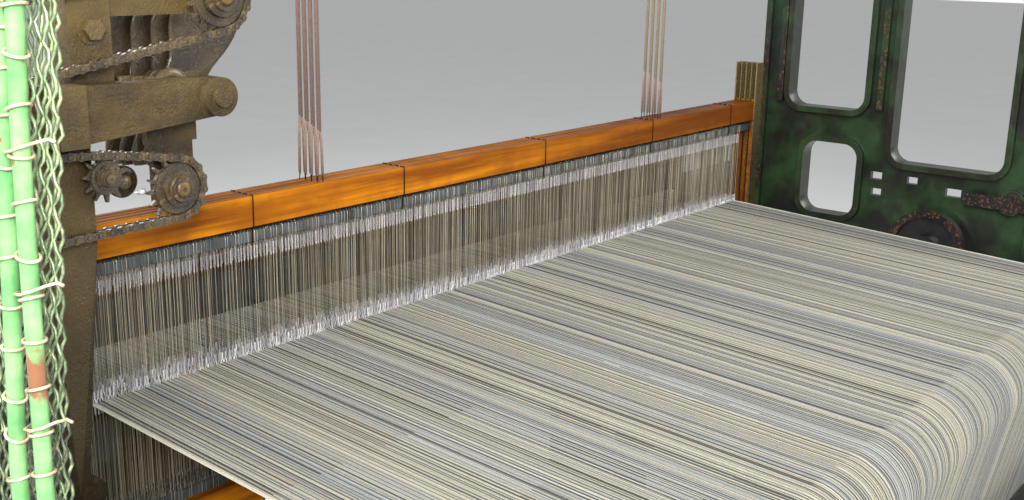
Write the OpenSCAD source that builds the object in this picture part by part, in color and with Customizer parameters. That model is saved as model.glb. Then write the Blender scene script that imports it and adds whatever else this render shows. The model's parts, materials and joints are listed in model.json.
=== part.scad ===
// Power loom with four heald shafts, seen from its back where the warp comes in.
// X runs along the width, +Y goes to the warp beam at the back, +Z is up, floor at 0.
// Inside the modules Y counts from the rear face of the rear heald shaft.

/* [Loom frame] */
// Clear width between the two end frames
frame_gap = 1630; // [1610:5:1800]
// Thickness of an end frame over its flanges
frame_t = 40; // [30:1:60]
// Thickness of the thin web inside an end frame
web_t = 14; // [8:1:24]
// Width of the flanges round the edges and the windows
flange_w = 12; // [8:1:20]
// Reach of the frame ahead of the harness
frame_front = 520; // [500:5:600]
// Reach of the frame behind the harness
frame_back = 770; // [750:5:900]
// Height of the overhead rails above the floor
top_h = 1900; // [1800:10:2100]
// Diameter of the round tie rails
tie_d = 60; // [40:1:80]

/* [Warp and rollers] */
// Width of the warp sheet
warp_w = 1480; // [1300:10:1500]
// Height of the heald eyes and of the warp there
eye_h = 970; // [960:1:980]
// Fall from the heald eyes to the frame's top behind the harness
rear_fall = 65; // [55:5:80]
// Fall from the heald eyes to the frame's top under the sley
dip_fall = 120; // [110:5:170]
// Fall of the warp towards the back rest, in degrees
warp_fall = 2.7; // [2.4:0.1:3]
// Thickness of the warp sheet
warp_t = 1.6; // [1:0.1:3]
// Gaps between the warp bands, one for each reed wire
warp_gaps = 118; // [40:2:118]
// Width of a gap where heald and reed wires pass
slot_w = 4; // [3.6:0.1:5]
// Width of a gap in the open sheet
seam_w = 1.4; // [1:0.1:3]
// Radius of the back rest roller
rest_r = 60; // [50:1:65]
// Distance of the back rest behind the harness
rest_y = 661; // [640:1:690]
// Radius of the wound warp
roll_r = 190; // [150:1:200]
// Radius of the beam flanges
flange_r = 250; // [230:1:255]
// Radius of the bare beam barrel
barrel_r = 75; // [60:1:100]
// Distance of the beam behind the harness
beam_y = 463; // [455:1:480]
// Height of the beam above the floor
beam_h = 520; // [510:1:540]
// Radius of the sand roller that takes up the cloth
sand_r = 50; // [40:1:55]
// Radius of the wound cloth
cloth_r = 70; // [50:1:75]
// Fall from the heald eyes to the sand roller
sand_fall = 180; // [170:1:190]

/* [Harness] */
// Distance from one heald shaft to the next
shaft_pitch = 11.5; // [11:0.1:14]
// Thickness of a wooden shaft bar
shaft_t = 8.5; // [7:0.1:9]
// Height of a wooden shaft bar
bar_h = 39; // [30:1:50]
// Distance between the upper and the lower wooden bar
heald_l = 326; // [300:2:340]
// Reach of a shaft towards the near end
shaft_near = 780; // [760:1:795]
// Reach of a shaft towards the far end
shaft_far = 800; // [780:1:805]
// Lift of a shaft above and below rest
heald_lift = 42; // [30:1:44]
// Place of the near harness cords along the shafts
cord_near = 396; // [300:1:450]
// Place of the far harness cords along the shafts
cord_far = 424; // [300:1:450]
// Diameter of a harness cord
cord_d = 5; // [3:0.5:6]
// Radius of an overhead sheave at its groove
sheave_r = 34; // [25:1:45]

/* [Sley and reed] */
// Distance of the reed ahead of the harness at rest
reed_y = 165; // [160:1:170]
// Half length of the sley with its shuttle boxes
sley_half = 1345; // [1345:5:1400]
// Fall from the heald eyes to the race board's top
race_fall = 26; // [22:1:32]
// Thickness of the sley board
sley_t = 58; // [40:1:60]
// Width of the race in front of the reed
race_w = 92; // [80:1:100]
// Height of the reed between its baulks
reed_open = 92; // [80:1:100]
// Thickness of a reed wire along the warp width
reed_wire = 1.6; // [1:0.1:2]
// Height of the rocking shaft
rock_h = 110; // [90:1:120]
// Diameter of the rocking shaft
rock_d = 44; // [36:1:50]
// Place of the swords and crank arms along the width
sword_x = 640; // [600:1:700]

/* [Crank and bottom shaft] */
// Distance of the crankshaft behind the harness
crank_y = 120; // [110:1:130]
// Height of the crankshaft
crank_h = 640; // [630:1:645]
// Throw of the cranks
crank_throw = 45; // [35:1:48]
// Diameter of the crankshaft
crank_d = 40; // [34:1:46]
// Tooth module of the gears on the crankshaft and bottom shaft
gear_module = 8; // [7.5:0.1:8.5]
// Radius of the flywheel pulley
fly_r = 180; // [150:1:190]

/* [Shed motion at the near end] */
// Height of the bracket arm above the heald eyes
arm_h = 332; // [325:1:340]
// Place of the lower chain wheel along the width
low_wheel_x = 665; // [655:1:675]
// Height of the lower chain wheel above the heald eyes
low_wheel_h = 245; // [240:1:250]
// Pitch of the roller chains
chain_pitch = 12.7; // [12:0.1:13.5]
// Place of the chain drive shafts outside the near frame
drive_x = 935; // [930:1:950]

/* [End guard] */
// Place of the wire guard outside the near frame
guard_x = 1080; // [1070:5:1150]
// Height of the wire guard
guard_h = 1540; // [1500:10:1700]
// Columns of openings in the guard's mesh
guard_cols = 8; // [4:1:8]
// Rows of openings in the guard's mesh
guard_rows = 15; // [6:1:15]

/* [Hidden] */
$fn = 48;

// Running clearance of a shaft in its bearing, on the radius
run_gap = 0.06;
// Clearance between parts that must not touch
part_gap = 0.3;
rear_h = eye_h - rear_fall;
dip_h = eye_h - dip_fall;
sand_h = eye_h - sand_fall;
race_h = eye_h - race_fall;
frame_in = frame_gap / 2;
frame_out = frame_in + frame_t;
frame_mid = frame_in + frame_t / 2;
shift_y = (frame_front + part_gap + warp_t - frame_back) / 2;
band_pitch = warp_w / (warp_gaps + 1);
wood = "peru";
iron = [0.2, 0.18, 0.16];
steel = "silver";
green = [0.1, 0.32, 0.14];
yarn = [0.72, 0.7, 0.62];

// Everything is placed so that the loom's box is centred on the origin in Y.
module place() {
    translate([0, shift_y, 0]) children();
}

// A box given by its two corners.
module box(a, b) {
    translate(a) cube(b - a);
}

// A round bar along X, from one end to the other.
module bar_x(x0, x1, y, z, r) {
    translate([x0, y, z]) rotate([0, 90, 0]) cylinder(r = r, h = x1 - x0);
}

// A round bar along Y, from one end to the other.
module bar_y(y0, y1, x, z, r) {
    translate([x, y0, z]) rotate([-90, 0, 0]) cylinder(r = r, h = y1 - y0);
}

// Puts a flat drawing in the plane of the end frames and thickens it along X.
module side_plate(x, t) {
    translate([x, 0, 0]) rotate([90, 0, 90]) linear_extrude(t) children();
}

// A rectangle with round corners.
module round_rect(a, b, r) {
    translate([a.x + r, a.y]) square([b.x - a.x - 2 * r, b.y - a.y]);
    translate([a.x, a.y + r]) square([b.x - a.x, b.y - a.y - 2 * r]);
    for (u = [a.x + r, b.x - r], v = [a.y + r, b.y - r]) translate([u, v]) circle(r);
}

// A flange round a window with round corners.
module window_flange(a, b, r) {
    difference() {
        round_rect(a - [flange_w, flange_w], b + [flange_w, flange_w], r + flange_w);
        round_rect(a, b, r);
    }
}

// A bar with round ends between two points of a flat drawing.
module round_bar(a, b, r) {
    run = norm(b - a);
    translate(a) rotate(atan2(b.y - a.y, b.x - a.x)) {
        translate([0, -r]) square([run, 2 * r]);
        circle(r);
        translate([run, 0]) circle(r);
    }
}

function shaft_y(i) = -shaft_t / 2 - (i - 1) * shaft_pitch;
function warp_z(y) = eye_h - y * tan(warp_fall);
stack_front = shaft_y(4) - shaft_t / 2;
rest_h = warp_z(rest_y) - rest_r - warp_t - part_gap;

// Teeth of the crankshaft gear and of the bottom shaft gear, which turns at half its speed
pinion_teeth = 24;
wheel_teeth = 2 * pinion_teeth;

// Shafts that run from end frame to end frame, as [y, z, radius].
beam_journal = 20;
rest_journal = 16;
roller_journal = 15;
bottom_y = crank_y;
bottom_h = crank_h - gear_module * (pinion_teeth + wheel_teeth) / 2;
bottom_d = 44;
sand_y = -frame_front + 80;
cloth_h = sand_h - sand_r - cloth_r - warp_t - 2 * part_gap;
bearings = [
    [crank_y, crank_h, crank_d / 2], [bottom_y, bottom_h, bottom_d / 2],
    [-reed_y, rock_h, rock_d / 2], [beam_y, beam_h, beam_journal],
    [rest_y, rest_h, rest_journal], [sand_y, sand_h, roller_journal],
    [sand_y, cloth_h, roller_journal]
];

// End frames
foot_h = 70;
foot_w = 150;
post_w = 120;
rail_w = 80;
window_r = 28;
front_top = eye_h - 90;
post_y = -frame_front + post_w;
mid_rail_h = 430;
mid_rail_top = 610;
inner_post = 60;

// Outline of the lower frame, drawn in by the given amount.
function frame_outline(d) = [
    [-frame_front + d, d], [-frame_front + foot_w - d, d],
    [-frame_front + foot_w + 40 - d, foot_h + d], [frame_back - foot_w - 40 + d, foot_h + d],
    [frame_back - foot_w + d, d], [frame_back - d, d],
    [frame_back - d, rear_h - d], [30 + d, rear_h - d], [0 + d, dip_h - d],
    [post_y + 20 - d, dip_h - d], [post_y - d, front_top - d], [-frame_front + d, front_top - d]
];
lower_windows = [
    [[post_y + 10, foot_h + 120], [crank_y - inner_post, mid_rail_h + 120]],
    [[post_y + 10, mid_rail_top + 30], [crank_y - inner_post, dip_h - rail_w]],
    [[crank_y + inner_post, foot_h + 120], [frame_back - post_w - 20, mid_rail_h]],
    [[crank_y + inner_post, mid_rail_top], [frame_back - post_w - 20, rear_h - rail_w]]
];

// Upper casting of the far frame: its posts and windows as seen from the back.
far_post_y = 62;
far_post_w = 64;
far_rib_y = 222;
far_rib_w = 62;
far_end_y = 560;
sill_h = eye_h + 108;
upper_windows = [
    [[far_post_y + 42, eye_h - 14], [far_rib_y - 4, eye_h + 132]],
    [[far_post_y, eye_h + 200], [far_rib_y, top_h - 90]],
    [[far_rib_y + far_rib_w, sill_h], [far_end_y - 62, top_h - 90]]
];
peep_holes = [
    [[245, eye_h + 68], [268, eye_h + 83]], [[248, eye_h + 36], [269, eye_h + 50]],
    [[318, eye_h + 68], [339, eye_h + 82]], [[394, eye_h + 54], [424, eye_h + 70]]
];

module lower_casting(x) {
    side_plate(x + (frame_t - web_t) / 2, web_t) difference() {
        polygon(frame_outline(0));
        for (w = lower_windows) round_rect(w[0], w[1], window_r);
    }
    side_plate(x, frame_t) {
        difference() {
            polygon(frame_outline(0));
            polygon(frame_outline(flange_w));
        }
        for (w = lower_windows) window_flange(w[0], w[1], window_r);
        for (b = bearings) translate([b[0], b[1]]) circle(b[2] + 18);
        for (t = tie_places) translate(t) circle(tie_flange_r);
    }
}

// Studs of the let-off wheel and of the easing lever on the far frame
let_off_y = 377;
let_off_h = eye_h - 45;
easing_y = 520;
easing_h = eye_h + 60;
stud_r = 10;

module bearing_bores(x) {
    for (b = bearings) bar_x(x - 1, x + frame_t + 1, b[0], b[1], b[2] + run_gap);
}

module near_end_frame() {
    color(green) place() difference() {
        union() {
            lower_casting(frame_in);
            bar_x(frame_in, frame_out, handle_y, handle_low, stud_r + 18);
            for (p = guard_stays) bar_x(frame_in, frame_out, p[0], p[1], guard_post_r + 14);
        }
        bearing_bores(frame_in);
        bar_x(frame_out - 15, frame_out + 1, handle_y, handle_low, stud_r + run_gap);
    }
}

module far_end_frame() {
    color(green) place() difference() {
        union() {
            lower_casting(-frame_out);
            side_plate(-frame_out + (frame_t - web_t) / 2, web_t) difference() {
                translate([0, rear_h - 30]) square([far_end_y, top_h - rear_h + 30]);
                for (w = upper_windows) round_rect(w[0], w[1], window_r);
                for (w = peep_holes) translate(w[0]) square(w[1] - w[0]);
            }
            side_plate(-frame_out, frame_t) {
                for (w = upper_windows) window_flange(w[0], w[1], window_r);
                for (y = [0, far_end_y - flange_w])
                    translate([y, rear_h - 5]) square([flange_w, top_h - rear_h + 5]);
                for (y = [far_post_y - 26, far_rib_y + 25])
                    translate([y, eye_h + 205]) square([flange_w, top_h - eye_h - 300]);
                translate([0, top_h - flange_w]) square([far_end_y, flange_w]);
                for (p = [[let_off_y, let_off_h], [easing_y, easing_h]])
                    translate(p) circle(stud_r + 14);
            }
        }
        bearing_bores(-frame_out);
        for (p = [[let_off_y, let_off_h], [easing_y, easing_h]])
            bar_x(-frame_out - 1, -frame_in + 1, p[0], p[1], stud_r + run_gap);
    }
}

// Breast beam with a round nose that the cloth runs over
nose_r = 22;
breast_top = eye_h - warp_t / 2 - part_gap;
breast_w = 78;

module breast_beam() {
    color(wood) place() side_plate(-frame_out, 2 * frame_out) {
        polygon([
            [-frame_front, breast_top - nose_r], [-frame_front + nose_r, breast_top],
            [-frame_front + breast_w, breast_top], [-frame_front + breast_w, front_top],
            [-frame_front + nose_r, front_top]
        ]);
        translate([-frame_front + nose_r, breast_top - nose_r]) circle(nose_r);
    }
}

// Round tie rails and the flat rail under the back rest
tie_flange_r = tie_d / 2 + 15;
tie_places = [[-frame_front + 60, 150], [frame_back - 70, 140], [frame_back - 46, 660]];

module tie_rails() {
    color(green) place() for (p = tie_places) {
        bar_x(-frame_in, frame_in, p[0], p[1], tie_d / 2);
        for (s = [-1, 1])
            translate([s * (frame_in - 7), p[0], p[1]]) rotate([0, 90, 0])
                cylinder(r = tie_flange_r, h = 14, center = true);
    }
}

// Overhead rails on the far frame and the near upright, with the sheave brackets
rail_h = 60;
rail_t = 14;
rail_ys = [stack_front - 34, 20];
upper_x = [723, 770];
post_ys = [22, 60];
sheave_top = top_h - 20;
sheave_z = sheave_top - sheave_r;
sheave_xs = [cord_near + sheave_r + cord_d / 2, -cord_far + sheave_r + cord_d / 2];
pin_r = 6;

module overhead_rails() {
    color(green) place() {
        difference() {
            union() {
                for (y = rail_ys)
                    box([-frame_out, y - rail_t, top_h + part_gap],
                        [upper_x[1], y, top_h + rail_h]);
                for (x = sheave_xs, y = rail_ys)
                    box([x - 20, y - rail_t, sheave_z - 22], [x + 20, y, top_h + 20]);
                for (x = [-frame_in - frame_t, upper_x[0]])
                    box([x, rail_ys[0] - 1, top_h + part_gap],
                        [x + frame_t, rail_ys[1] - rail_t + 1, top_h + rail_t]);
            }
            for (x = sheave_xs)
                bar_y(rail_ys[0] - 30, rail_ys[1] + 10, x, sheave_z, pin_r + part_gap);
        }
    }
}

// Eight grooved sheaves on two pins, one pair for each heald shaft
module sheave() {
    rotate([90, 0, 0]) rotate_extrude() polygon([
        [pin_r + run_gap, -4.6], [sheave_r + 5, -4.6], [sheave_r, -1.5],
        [sheave_r, 1.5], [sheave_r + 5, 4.6], [pin_r + run_gap, 4.6]
    ]);
}

module cord_sheaves() {
    color(iron) place() for (x = sheave_xs) {
        for (i = [1 : 4]) translate([x, shaft_y(i), sheave_z]) sheave();
        bar_y(rail_ys[0] - rail_t - 6, rail_ys[1] + 6, x, sheave_z, pin_r);
    }
}

// Near upright: a lower post on the end frame and a narrower bar bolted above it
post_top = eye_h + 398;
post_foot = 560;
post_narrow = frame_in - 28;
post_wide = 755;
lug = [post_narrow - 2, eye_h - 72];
bolt_af = 22;

module hex_bolt_y(x, y, z) {
    translate([x, y, z]) rotate([-90, 0, 0]) cylinder(d = bolt_af, h = 10, $fn = 6);
    translate([x, y - 0.01, z]) rotate([-90, 0, 0]) cylinder(d = bolt_af + 8, h = 2);
}

module near_upright() {
    color(iron) place() difference() {
        union() {
            translate([0, post_ys[1], 0]) rotate([90, 0, 0]) linear_extrude(post_ys[1] - post_ys[0]) {
                polygon([
                    [frame_in, post_foot], [frame_in, post_top - 36], [post_wide, post_top - 36],
                    [post_wide, eye_h + 203], [post_narrow, eye_h - 80], [post_narrow, post_foot]
                ]);
                translate(lug) circle(20);
            }
            box([upper_x[0], post_ys[0], post_top - 40], [upper_x[1], post_ys[1], top_h]);
            box([upper_x0 - 18, post_ys[0] + 10, upper_z - 18],
                [upper_x[0] + 1, post_ys[1] - 8, upper_z + 18]);
            hex_bolt_y(746, post_ys[1], post_top + 16);
            bar_y(post_ys[1] - 1, post_ys[1] + 8, lug.x, lug.y, bolt_af / 2 + 1);
            hex_bolt_y(frame_in - 14, post_ys[1], post_foot + 60);
        }
        for (p = [[tension_x, tension_z], [upper_x0, upper_z]])
            bar_y(post_ys[0] - 1, post_ys[1] + 1, p[0], p[1], pin_r);
    }
}

// Bracket arm that reaches inwards from the upright and carries the jack lever shaft
arm_y = [post_ys[1], post_ys[1] + 20];
jack_x = 614;
jack_z = eye_h + arm_h + 7;
jack_shaft_r = 11;
boss_r = 21;
arm_z = eye_h + arm_h;

module bracket_arm() {
    color(iron) place() difference() {
        union() {
            translate([0, arm_y[1], 0]) rotate([90, 0, 0]) linear_extrude(arm_y[1] - arm_y[0])
                polygon([
                    [frame_in - 40, arm_z - 28], [frame_in - 40, arm_z + 30], [jack_x, jack_z + boss_r],
                    [jack_x, jack_z - boss_r]
                ]);
            box([frame_in - 45, arm_y[0], arm_z - 30], [frame_in - 14, arm_y[1] + 6, arm_z + 31]);
            bar_y(stack_front - 18, arm_y[1] + 14, jack_x, jack_z, jack_shaft_r);
            bar_y(arm_y[0] - 8, arm_y[1] + 9, jack_x, jack_z, boss_r);
            box([jack_x + 14, arm_y[0] - 8, arm_z - 40], [jack_x + 76, arm_y[0], arm_z + 26]);
            box([jack_x + 20, arm_y[0] - 8, low_z - 20], [jack_x + 70, arm_y[0], arm_z]);
        }
        bar_y(arm_y[0] - 12, arm_y[1], low_wheel_x, low_z, pin_r);
    }
}

// Curved jack levers, one behind another, that pull the harness cords overhead
jack_t = 7;
jack_w = 26;
jack_low = 70;
jack_bows = [76, 54, 32, 10];
jack_tip = 24;
jack_steps = 24;
jack_high = sheave_top - jack_z;
function jack_mid(s, bow) =
    let (z = s * (jack_high + jack_low) - jack_low)
    let (straight = (1 - cos(180 * min(1, max(0, (z - 20) / 110)))) / 2)
    [jack_tip * straight + bow * (1 - straight), z];
function jack_half(s) = jack_w / 2 - 4 * s;

module jack_lever(i) {
    bow = jack_bows[i - 1];
    up = [for (k = [0 : jack_steps]) k / jack_steps];
    down = [for (k = [jack_steps : -1 : 0]) k / jack_steps];
    color(iron) place() translate([jack_x, shaft_y(i) + jack_t / 2, jack_z]) rotate([90, 0, 0])
        difference() {
            linear_extrude(jack_t) {
                polygon(concat(
                    [for (s = up) jack_mid(s, bow) + [jack_half(s), 0]],
                    [for (s = down) jack_mid(s, bow) - [jack_half(s), 0]]
                ));
                circle(jack_shaft_r + 9);
                round_bar([0, 0], [bow, 6], 12);
                translate([bow, -jack_low]) circle(jack_half(0));
                translate([jack_tip, jack_high]) circle(jack_half(1) + 1);
            }
            translate([0, 0, -1]) cylinder(r = jack_shaft_r + run_gap, h = jack_t + 2);
        }
}
module jack_lever_1() { jack_lever(1); }
module jack_lever_2() { jack_lever(2); }
module jack_lever_3() { jack_lever(3); }
module jack_lever_4() { jack_lever(4); }

// Combs that guide the ends of the heald shafts
guide_h = heald_l + 2 * (bar_h + heald_lift) + 72;

module heald_guides() {
    color(iron) place() for (s = [1, -1]) {
        tip = s > 0 ? shaft_near : shaft_far;
        x0 = tip + 3;
        for (k = [0 : 4]) {
            y = shaft_y(1) + shaft_pitch / 2 - k * shaft_pitch;
            slab = (k == 0 || k == 4) ? 1.2 : 0.6;
            box([s > 0 ? tip - 14 : -frame_in, y - slab, eye_h - guide_h / 2],
                [s > 0 ? frame_in : -tip + 14, y + slab, eye_h + guide_h / 2]);
        }
        box([s > 0 ? x0 : -frame_in, stack_front - 2, eye_h - guide_h / 2],
            [s > 0 ? frame_in : -x0, 2, eye_h + guide_h / 2]);
        box(s > 0 ? [frame_in - 4, -60, 700] : [-frame_in, -60, 700],
            s > 0 ? [frame_in, 2, dip_h] : [-frame_in + 4, 2, dip_h]);
    }
}

// Heald frames: two wooden bars held apart by end sticks
stick_w = 12;

module heald_frame(i) {
    half = heald_l / 2;
    y = shaft_y(i);
    color(wood) place() {
        for (z = [eye_h + half, eye_h - half - bar_h])
            box([-shaft_far, y - shaft_t / 2, z], [shaft_near, y + shaft_t / 2, z + bar_h]);
        for (x = [-shaft_far, shaft_near - stick_w])
            box([x, y - shaft_t / 2 + 1.2, eye_h - half - bar_h + 6],
                [x + stick_w, y + shaft_t / 2 - 1.2, eye_h + half + bar_h + 4]);
    }
}
module heald_frame_1() { heald_frame(1); }
module heald_frame_2() { heald_frame(2); }
module heald_frame_3() { heald_frame(3); }
module heald_frame_4() { heald_frame(4); }

// Steel heald bars with the heald wires; every fourth gap of the warp has a wire here
heald_wire = 1.6;
rod_h = 13;
rod_drop = 5;
rod_t = 2.4;
hook_xs = [510, 246, -78, -398, -690, 740];

module healds(i) {
    y = shaft_y(i);
    top = eye_h + heald_l / 2 - rod_drop;
    bottom = eye_h - heald_l / 2 + rod_drop;
    slots = [for (k = [i : 4 : warp_gaps]) k];
    color(steel) place() {
        for (z = [top - rod_h, bottom])
            box([-shaft_far + stick_w + 4, y - rod_t / 2, z],
                [shaft_near - stick_w - 4, y + rod_t / 2, z + rod_h]);
        for (k = slots)
            box([-warp_w / 2 + k * band_pitch - heald_wire / 2, y - heald_wire / 2, bottom + 1],
                [-warp_w / 2 + k * band_pitch + heald_wire / 2, y + heald_wire / 2, top - 1]);
        for (x = hook_xs, s = [-1, 1])
            box([x - 1.2, y - rod_t / 2, s > 0 ? top - 1 : eye_h - heald_l / 2],
                [x + 1.2, y + rod_t / 2, s > 0 ? eye_h + heald_l / 2 : bottom + 1]);
    }
}
module healds_1() { healds(1); }
module healds_2() { healds(2); }
module healds_3() { healds(3); }
module healds_4() { healds(4); }

// Harness cords: up from the shafts, over the sheaves and along to the jack levers
module harness_cords() {
    bar_top = eye_h + heald_l / 2 + bar_h;
    run = sheave_r + cord_d / 2 + part_gap;
    color([0.55, 0.5, 0.5]) place() for (i = [1 : 4]) {
        y = shaft_y(i);
        for (n = [0, 1]) {
            x = sheave_xs[n] - run;
            translate([x, y, bar_top + part_gap])
                cylinder(d = cord_d, h = sheave_z - bar_top - part_gap);
            translate([sheave_xs[n], y, sheave_z]) rotate([90, 0, 0])
                intersection() {
                    rotate_extrude() translate([run, 0]) circle(d = cord_d);
                    translate([-run - cord_d, 0, -cord_d]) cube([run + cord_d, run + cord_d, 2 * cord_d]);
                }
            translate([sheave_xs[n], y, sheave_z + run]) rotate([0, 90, 0])
                cylinder(d = cord_d, h = jack_x + jack_tip - jack_half(1) - 1 - part_gap - sheave_xs[n]);
        }
    }
}

// Warp: bands from the fell to the back rest, over it and down to the wound roll
fell_y = -reed_y - 88;
clear_y = 10;
seam_end = rest_y - 40;
lay_r = rest_r + part_gap;
roll_lay = roll_r + part_gap;
centre_run = norm([rest_y - beam_y, rest_h - beam_h]);
hang_lean = atan2(rest_y - beam_y, rest_h - beam_h) - asin((roll_lay - lay_r) / centre_run);
function on_rest(a, r) = [rest_y + r * sin(a), rest_h + r * cos(a)];
function on_roll(a, r) = [beam_y + r * sin(a), beam_h + r * cos(a)];

module warp_sheet() {
    half = warp_w / 2;
    steps = 16;
    a1 = 90 + hang_lean;
    arc = [for (k = [0 : steps]) warp_fall + k * (a1 - warp_fall) / steps];
    color(yarn) place() difference() {
        side_plate(-half, warp_w) polygon(concat(
            [[fell_y, eye_h + warp_t / 2], [0, eye_h + warp_t / 2]],
            [for (a = arc) on_rest(a, lay_r + warp_t)],
            [on_roll(a1, roll_lay + warp_t), on_roll(a1, roll_lay)],
            [for (k = [steps : -1 : 0]) on_rest(arc[k], lay_r)],
            [[0, eye_h - warp_t / 2], [fell_y, eye_h - warp_t / 2]]
        ));
        translate([0, 0, eye_h - 60]) linear_extrude(80) for (k = [1 : warp_gaps])
            translate([-half + k * band_pitch, 0]) {
                translate([-slot_w / 2, fell_y + 4]) square([slot_w, clear_y - fell_y]);
                translate([-seam_w / 2, clear_y]) square([seam_w, seam_end - clear_y]);
            }
    }
}

// Cloth from the fell over the breast beam to the nip of the sand roller
module woven_cloth() {
    steps = 16;
    nose = [-frame_front + nose_r, breast_top - nose_r];
    r0 = nose_r + part_gap;
    s0 = sand_r + part_gap;
    run = norm([nose.x - sand_y, nose.y - sand_h]);
    lean = atan2(sand_y - nose.x, nose.y - sand_h) - asin((s0 - r0) / run);
    up = [for (k = [0 : steps]) k * (90 + lean) / steps];
    down = [for (k = [0 : steps]) lean + k * (90 - lean) / steps];
    function around(c, r, a) = c + r * [-sin(a), cos(a)];
    function under(c, r, a) = c + r * [-cos(a), -sin(a)];
    nip = [sand_y, sand_h];
    color([0.62, 0.62, 0.58]) place() side_plate(-warp_w / 2, warp_w) polygon(concat(
        [[fell_y, eye_h + warp_t / 2]],
        [for (a = up) around(nose, r0 + warp_t, a)],
        [for (a = down) under(nip, s0 + warp_t, a)],
        [for (k = [steps : -1 : 0]) under(nip, s0, down[k])],
        [for (k = [steps : -1 : 0]) around(nose, r0, up[k])],
        [[fell_y, eye_h - warp_t / 2]]
    ));
}

// Spur gear with straight-sided teeth, cut small enough to run freely
function gear_outline(n, m) = [for (k = [0 : n - 1], c = [0 : 3])
    let (r = m * n / 2 + (c == 0 || c == 3 ? -1.15 * m : 0.9 * m),
         a = (k + [-0.3, -0.12, 0.12, 0.3][c]) * 360 / n)
    r * [cos(a), sin(a)]];

module spur_gear(n, m, t, bore) {
    rim = m * n / 2 - 2.6 * m;
    difference() {
        linear_extrude(t) polygon(gear_outline(n, m));
        translate([0, 0, -1]) cylinder(r = bore, h = t + 2);
        if (rim > bore + 40)
            for (k = [0 : 4]) rotate(k * 72) translate([(rim + bore + 20) / 2, 0, -1])
                cylinder(r = (rim - bore - 20) / 2 - 6, h = t + 2);
    }
}

gear_x = frame_out + 16;
gear_t = 30;
fly_x = -frame_out - 20;
fly_w = 60;

// Crankshaft with its two cranks; at rest the crank pins are at the bottom
crank_pin_r = 17;
crank_web = 16;
pin_w = 34;
arm_t = 30;
sword_t = 34;
crank_x = sword_x + (sword_t + arm_t) / 2 + 2;

module crankshaft() {
    pin_z = crank_h - crank_throw;
    inner = pin_w / 2 + crank_web;
    color(steel) place() {
        bar_x(fly_x - fly_w - 14, -crank_x - inner + 1, crank_y, crank_h, crank_d / 2);
        bar_x(-crank_x + inner - 1, crank_x - inner + 1, crank_y, crank_h, crank_d / 2);
        bar_x(crank_x + inner - 1, gear_x + gear_t + 8, crank_y, crank_h, crank_d / 2);
        for (s = [-1, 1]) {
            bar_x(s * crank_x - pin_w / 2 - 1, s * crank_x + pin_w / 2 + 1, crank_y, pin_z, crank_pin_r);
            for (x = [s * crank_x - inner, s * crank_x + pin_w / 2])
                side_plate(x, crank_web) round_bar([crank_y, crank_h], [crank_y, pin_z], crank_d / 2 + 6);
        }
    }
}

module crank_gear() {
    color(iron) place() translate([gear_x, crank_y, crank_h]) rotate([90, 0, 90])
        rotate(-90) spur_gear(pinion_teeth, gear_module, gear_t, crank_d / 2 + run_gap);
}

module flywheel() {
    color(green) place() translate([fly_x - fly_w, crank_y, crank_h]) rotate([90, 0, 90])
        difference() {
            union() {
                difference() {
                    cylinder(r = fly_r, h = fly_w, $fn = 96);
                    translate([0, 0, -1]) cylinder(r = fly_r - 16, h = fly_w + 2, $fn = 96);
                }
                cylinder(r = crank_d / 2 + 20, h = fly_w);
                for (k = [0 : 4]) rotate(k * 72) translate([0, -14, fly_w / 2 - 9])
                    cube([fly_r - 8, 28, 18]);
            }
            translate([0, 0, -1]) cylinder(r = crank_d / 2 + run_gap, h = fly_w + 2);
        }
}

// Bottom shaft with the picking cams, at half the speed of the crankshaft
cam_x = frame_in - 60;

module bottom_shaft() {
    color(iron) place() {
        bar_x(-frame_out - 8, gear_x + gear_t + 8, bottom_y, bottom_h, bottom_d / 2);
        for (s = [-1, 1]) side_plate(s * cam_x - 16, 32) translate([bottom_y, bottom_h]) {
            circle(62);
            rotate(s > 0 ? 60 : 240) translate([46, 0]) circle(40);
        }
    }
}

module bottom_gear() {
    color(iron) place() translate([gear_x, bottom_y, bottom_h]) rotate([90, 0, 90])
        rotate(90 + 180 / wheel_teeth) spur_gear(wheel_teeth, gear_module, gear_t, bottom_d / 2 + run_gap);
}

// Crank arms that push the sley
sword_pin_z = crank_h - crank_throw;
arm_eye_r = 22;

module crank_arm(s) {
    back = [crank_y, sword_pin_z];
    front = [-reed_y, sword_pin_z];
    color(wood) place() difference() {
        side_plate(s * crank_x - arm_t / 2, arm_t) {
            translate(back) circle(crank_pin_r + 14);
            translate([front.x, front.y - 17]) square([back.x - front.x, 34]);
            translate(front) circle(arm_eye_r);
        }
        bar_x(s * crank_x - arm_t, s * crank_x + arm_t, back.x, back.y, crank_pin_r + run_gap);
        bar_x(s * crank_x - arm_t, s * crank_x + arm_t, front.x, front.y, 9);
    }
}
module near_crank_arm() { crank_arm(1); }
module far_crank_arm() { crank_arm(-1); }

// Rocking shaft at the foot of the sley
stick_x = sley_half - 35;
stick_pivot_h = rock_h + 60;

module rocking_shaft() {
    color(steel) place() {
        bar_x(-stick_x - 30, stick_x + 30, -reed_y, rock_h, rock_d / 2);
        for (s = [-1, 1]) difference() {
            union() {
                box([s * stick_x - 26, -reed_y - 26, rock_h - 26],
                    [s * stick_x + 26, -reed_y + 26, rock_h + 24]);
                for (y = [-reed_y - 26, -reed_y + 14])
                    box([s * stick_x - 22, y, rock_h + 10], [s * stick_x + 22, y + 12, stick_pivot_h + 24]);
            }
            bar_y(-reed_y - 30, -reed_y + 30, s * stick_x, stick_pivot_h, 8);
        }
    }
}

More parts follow.
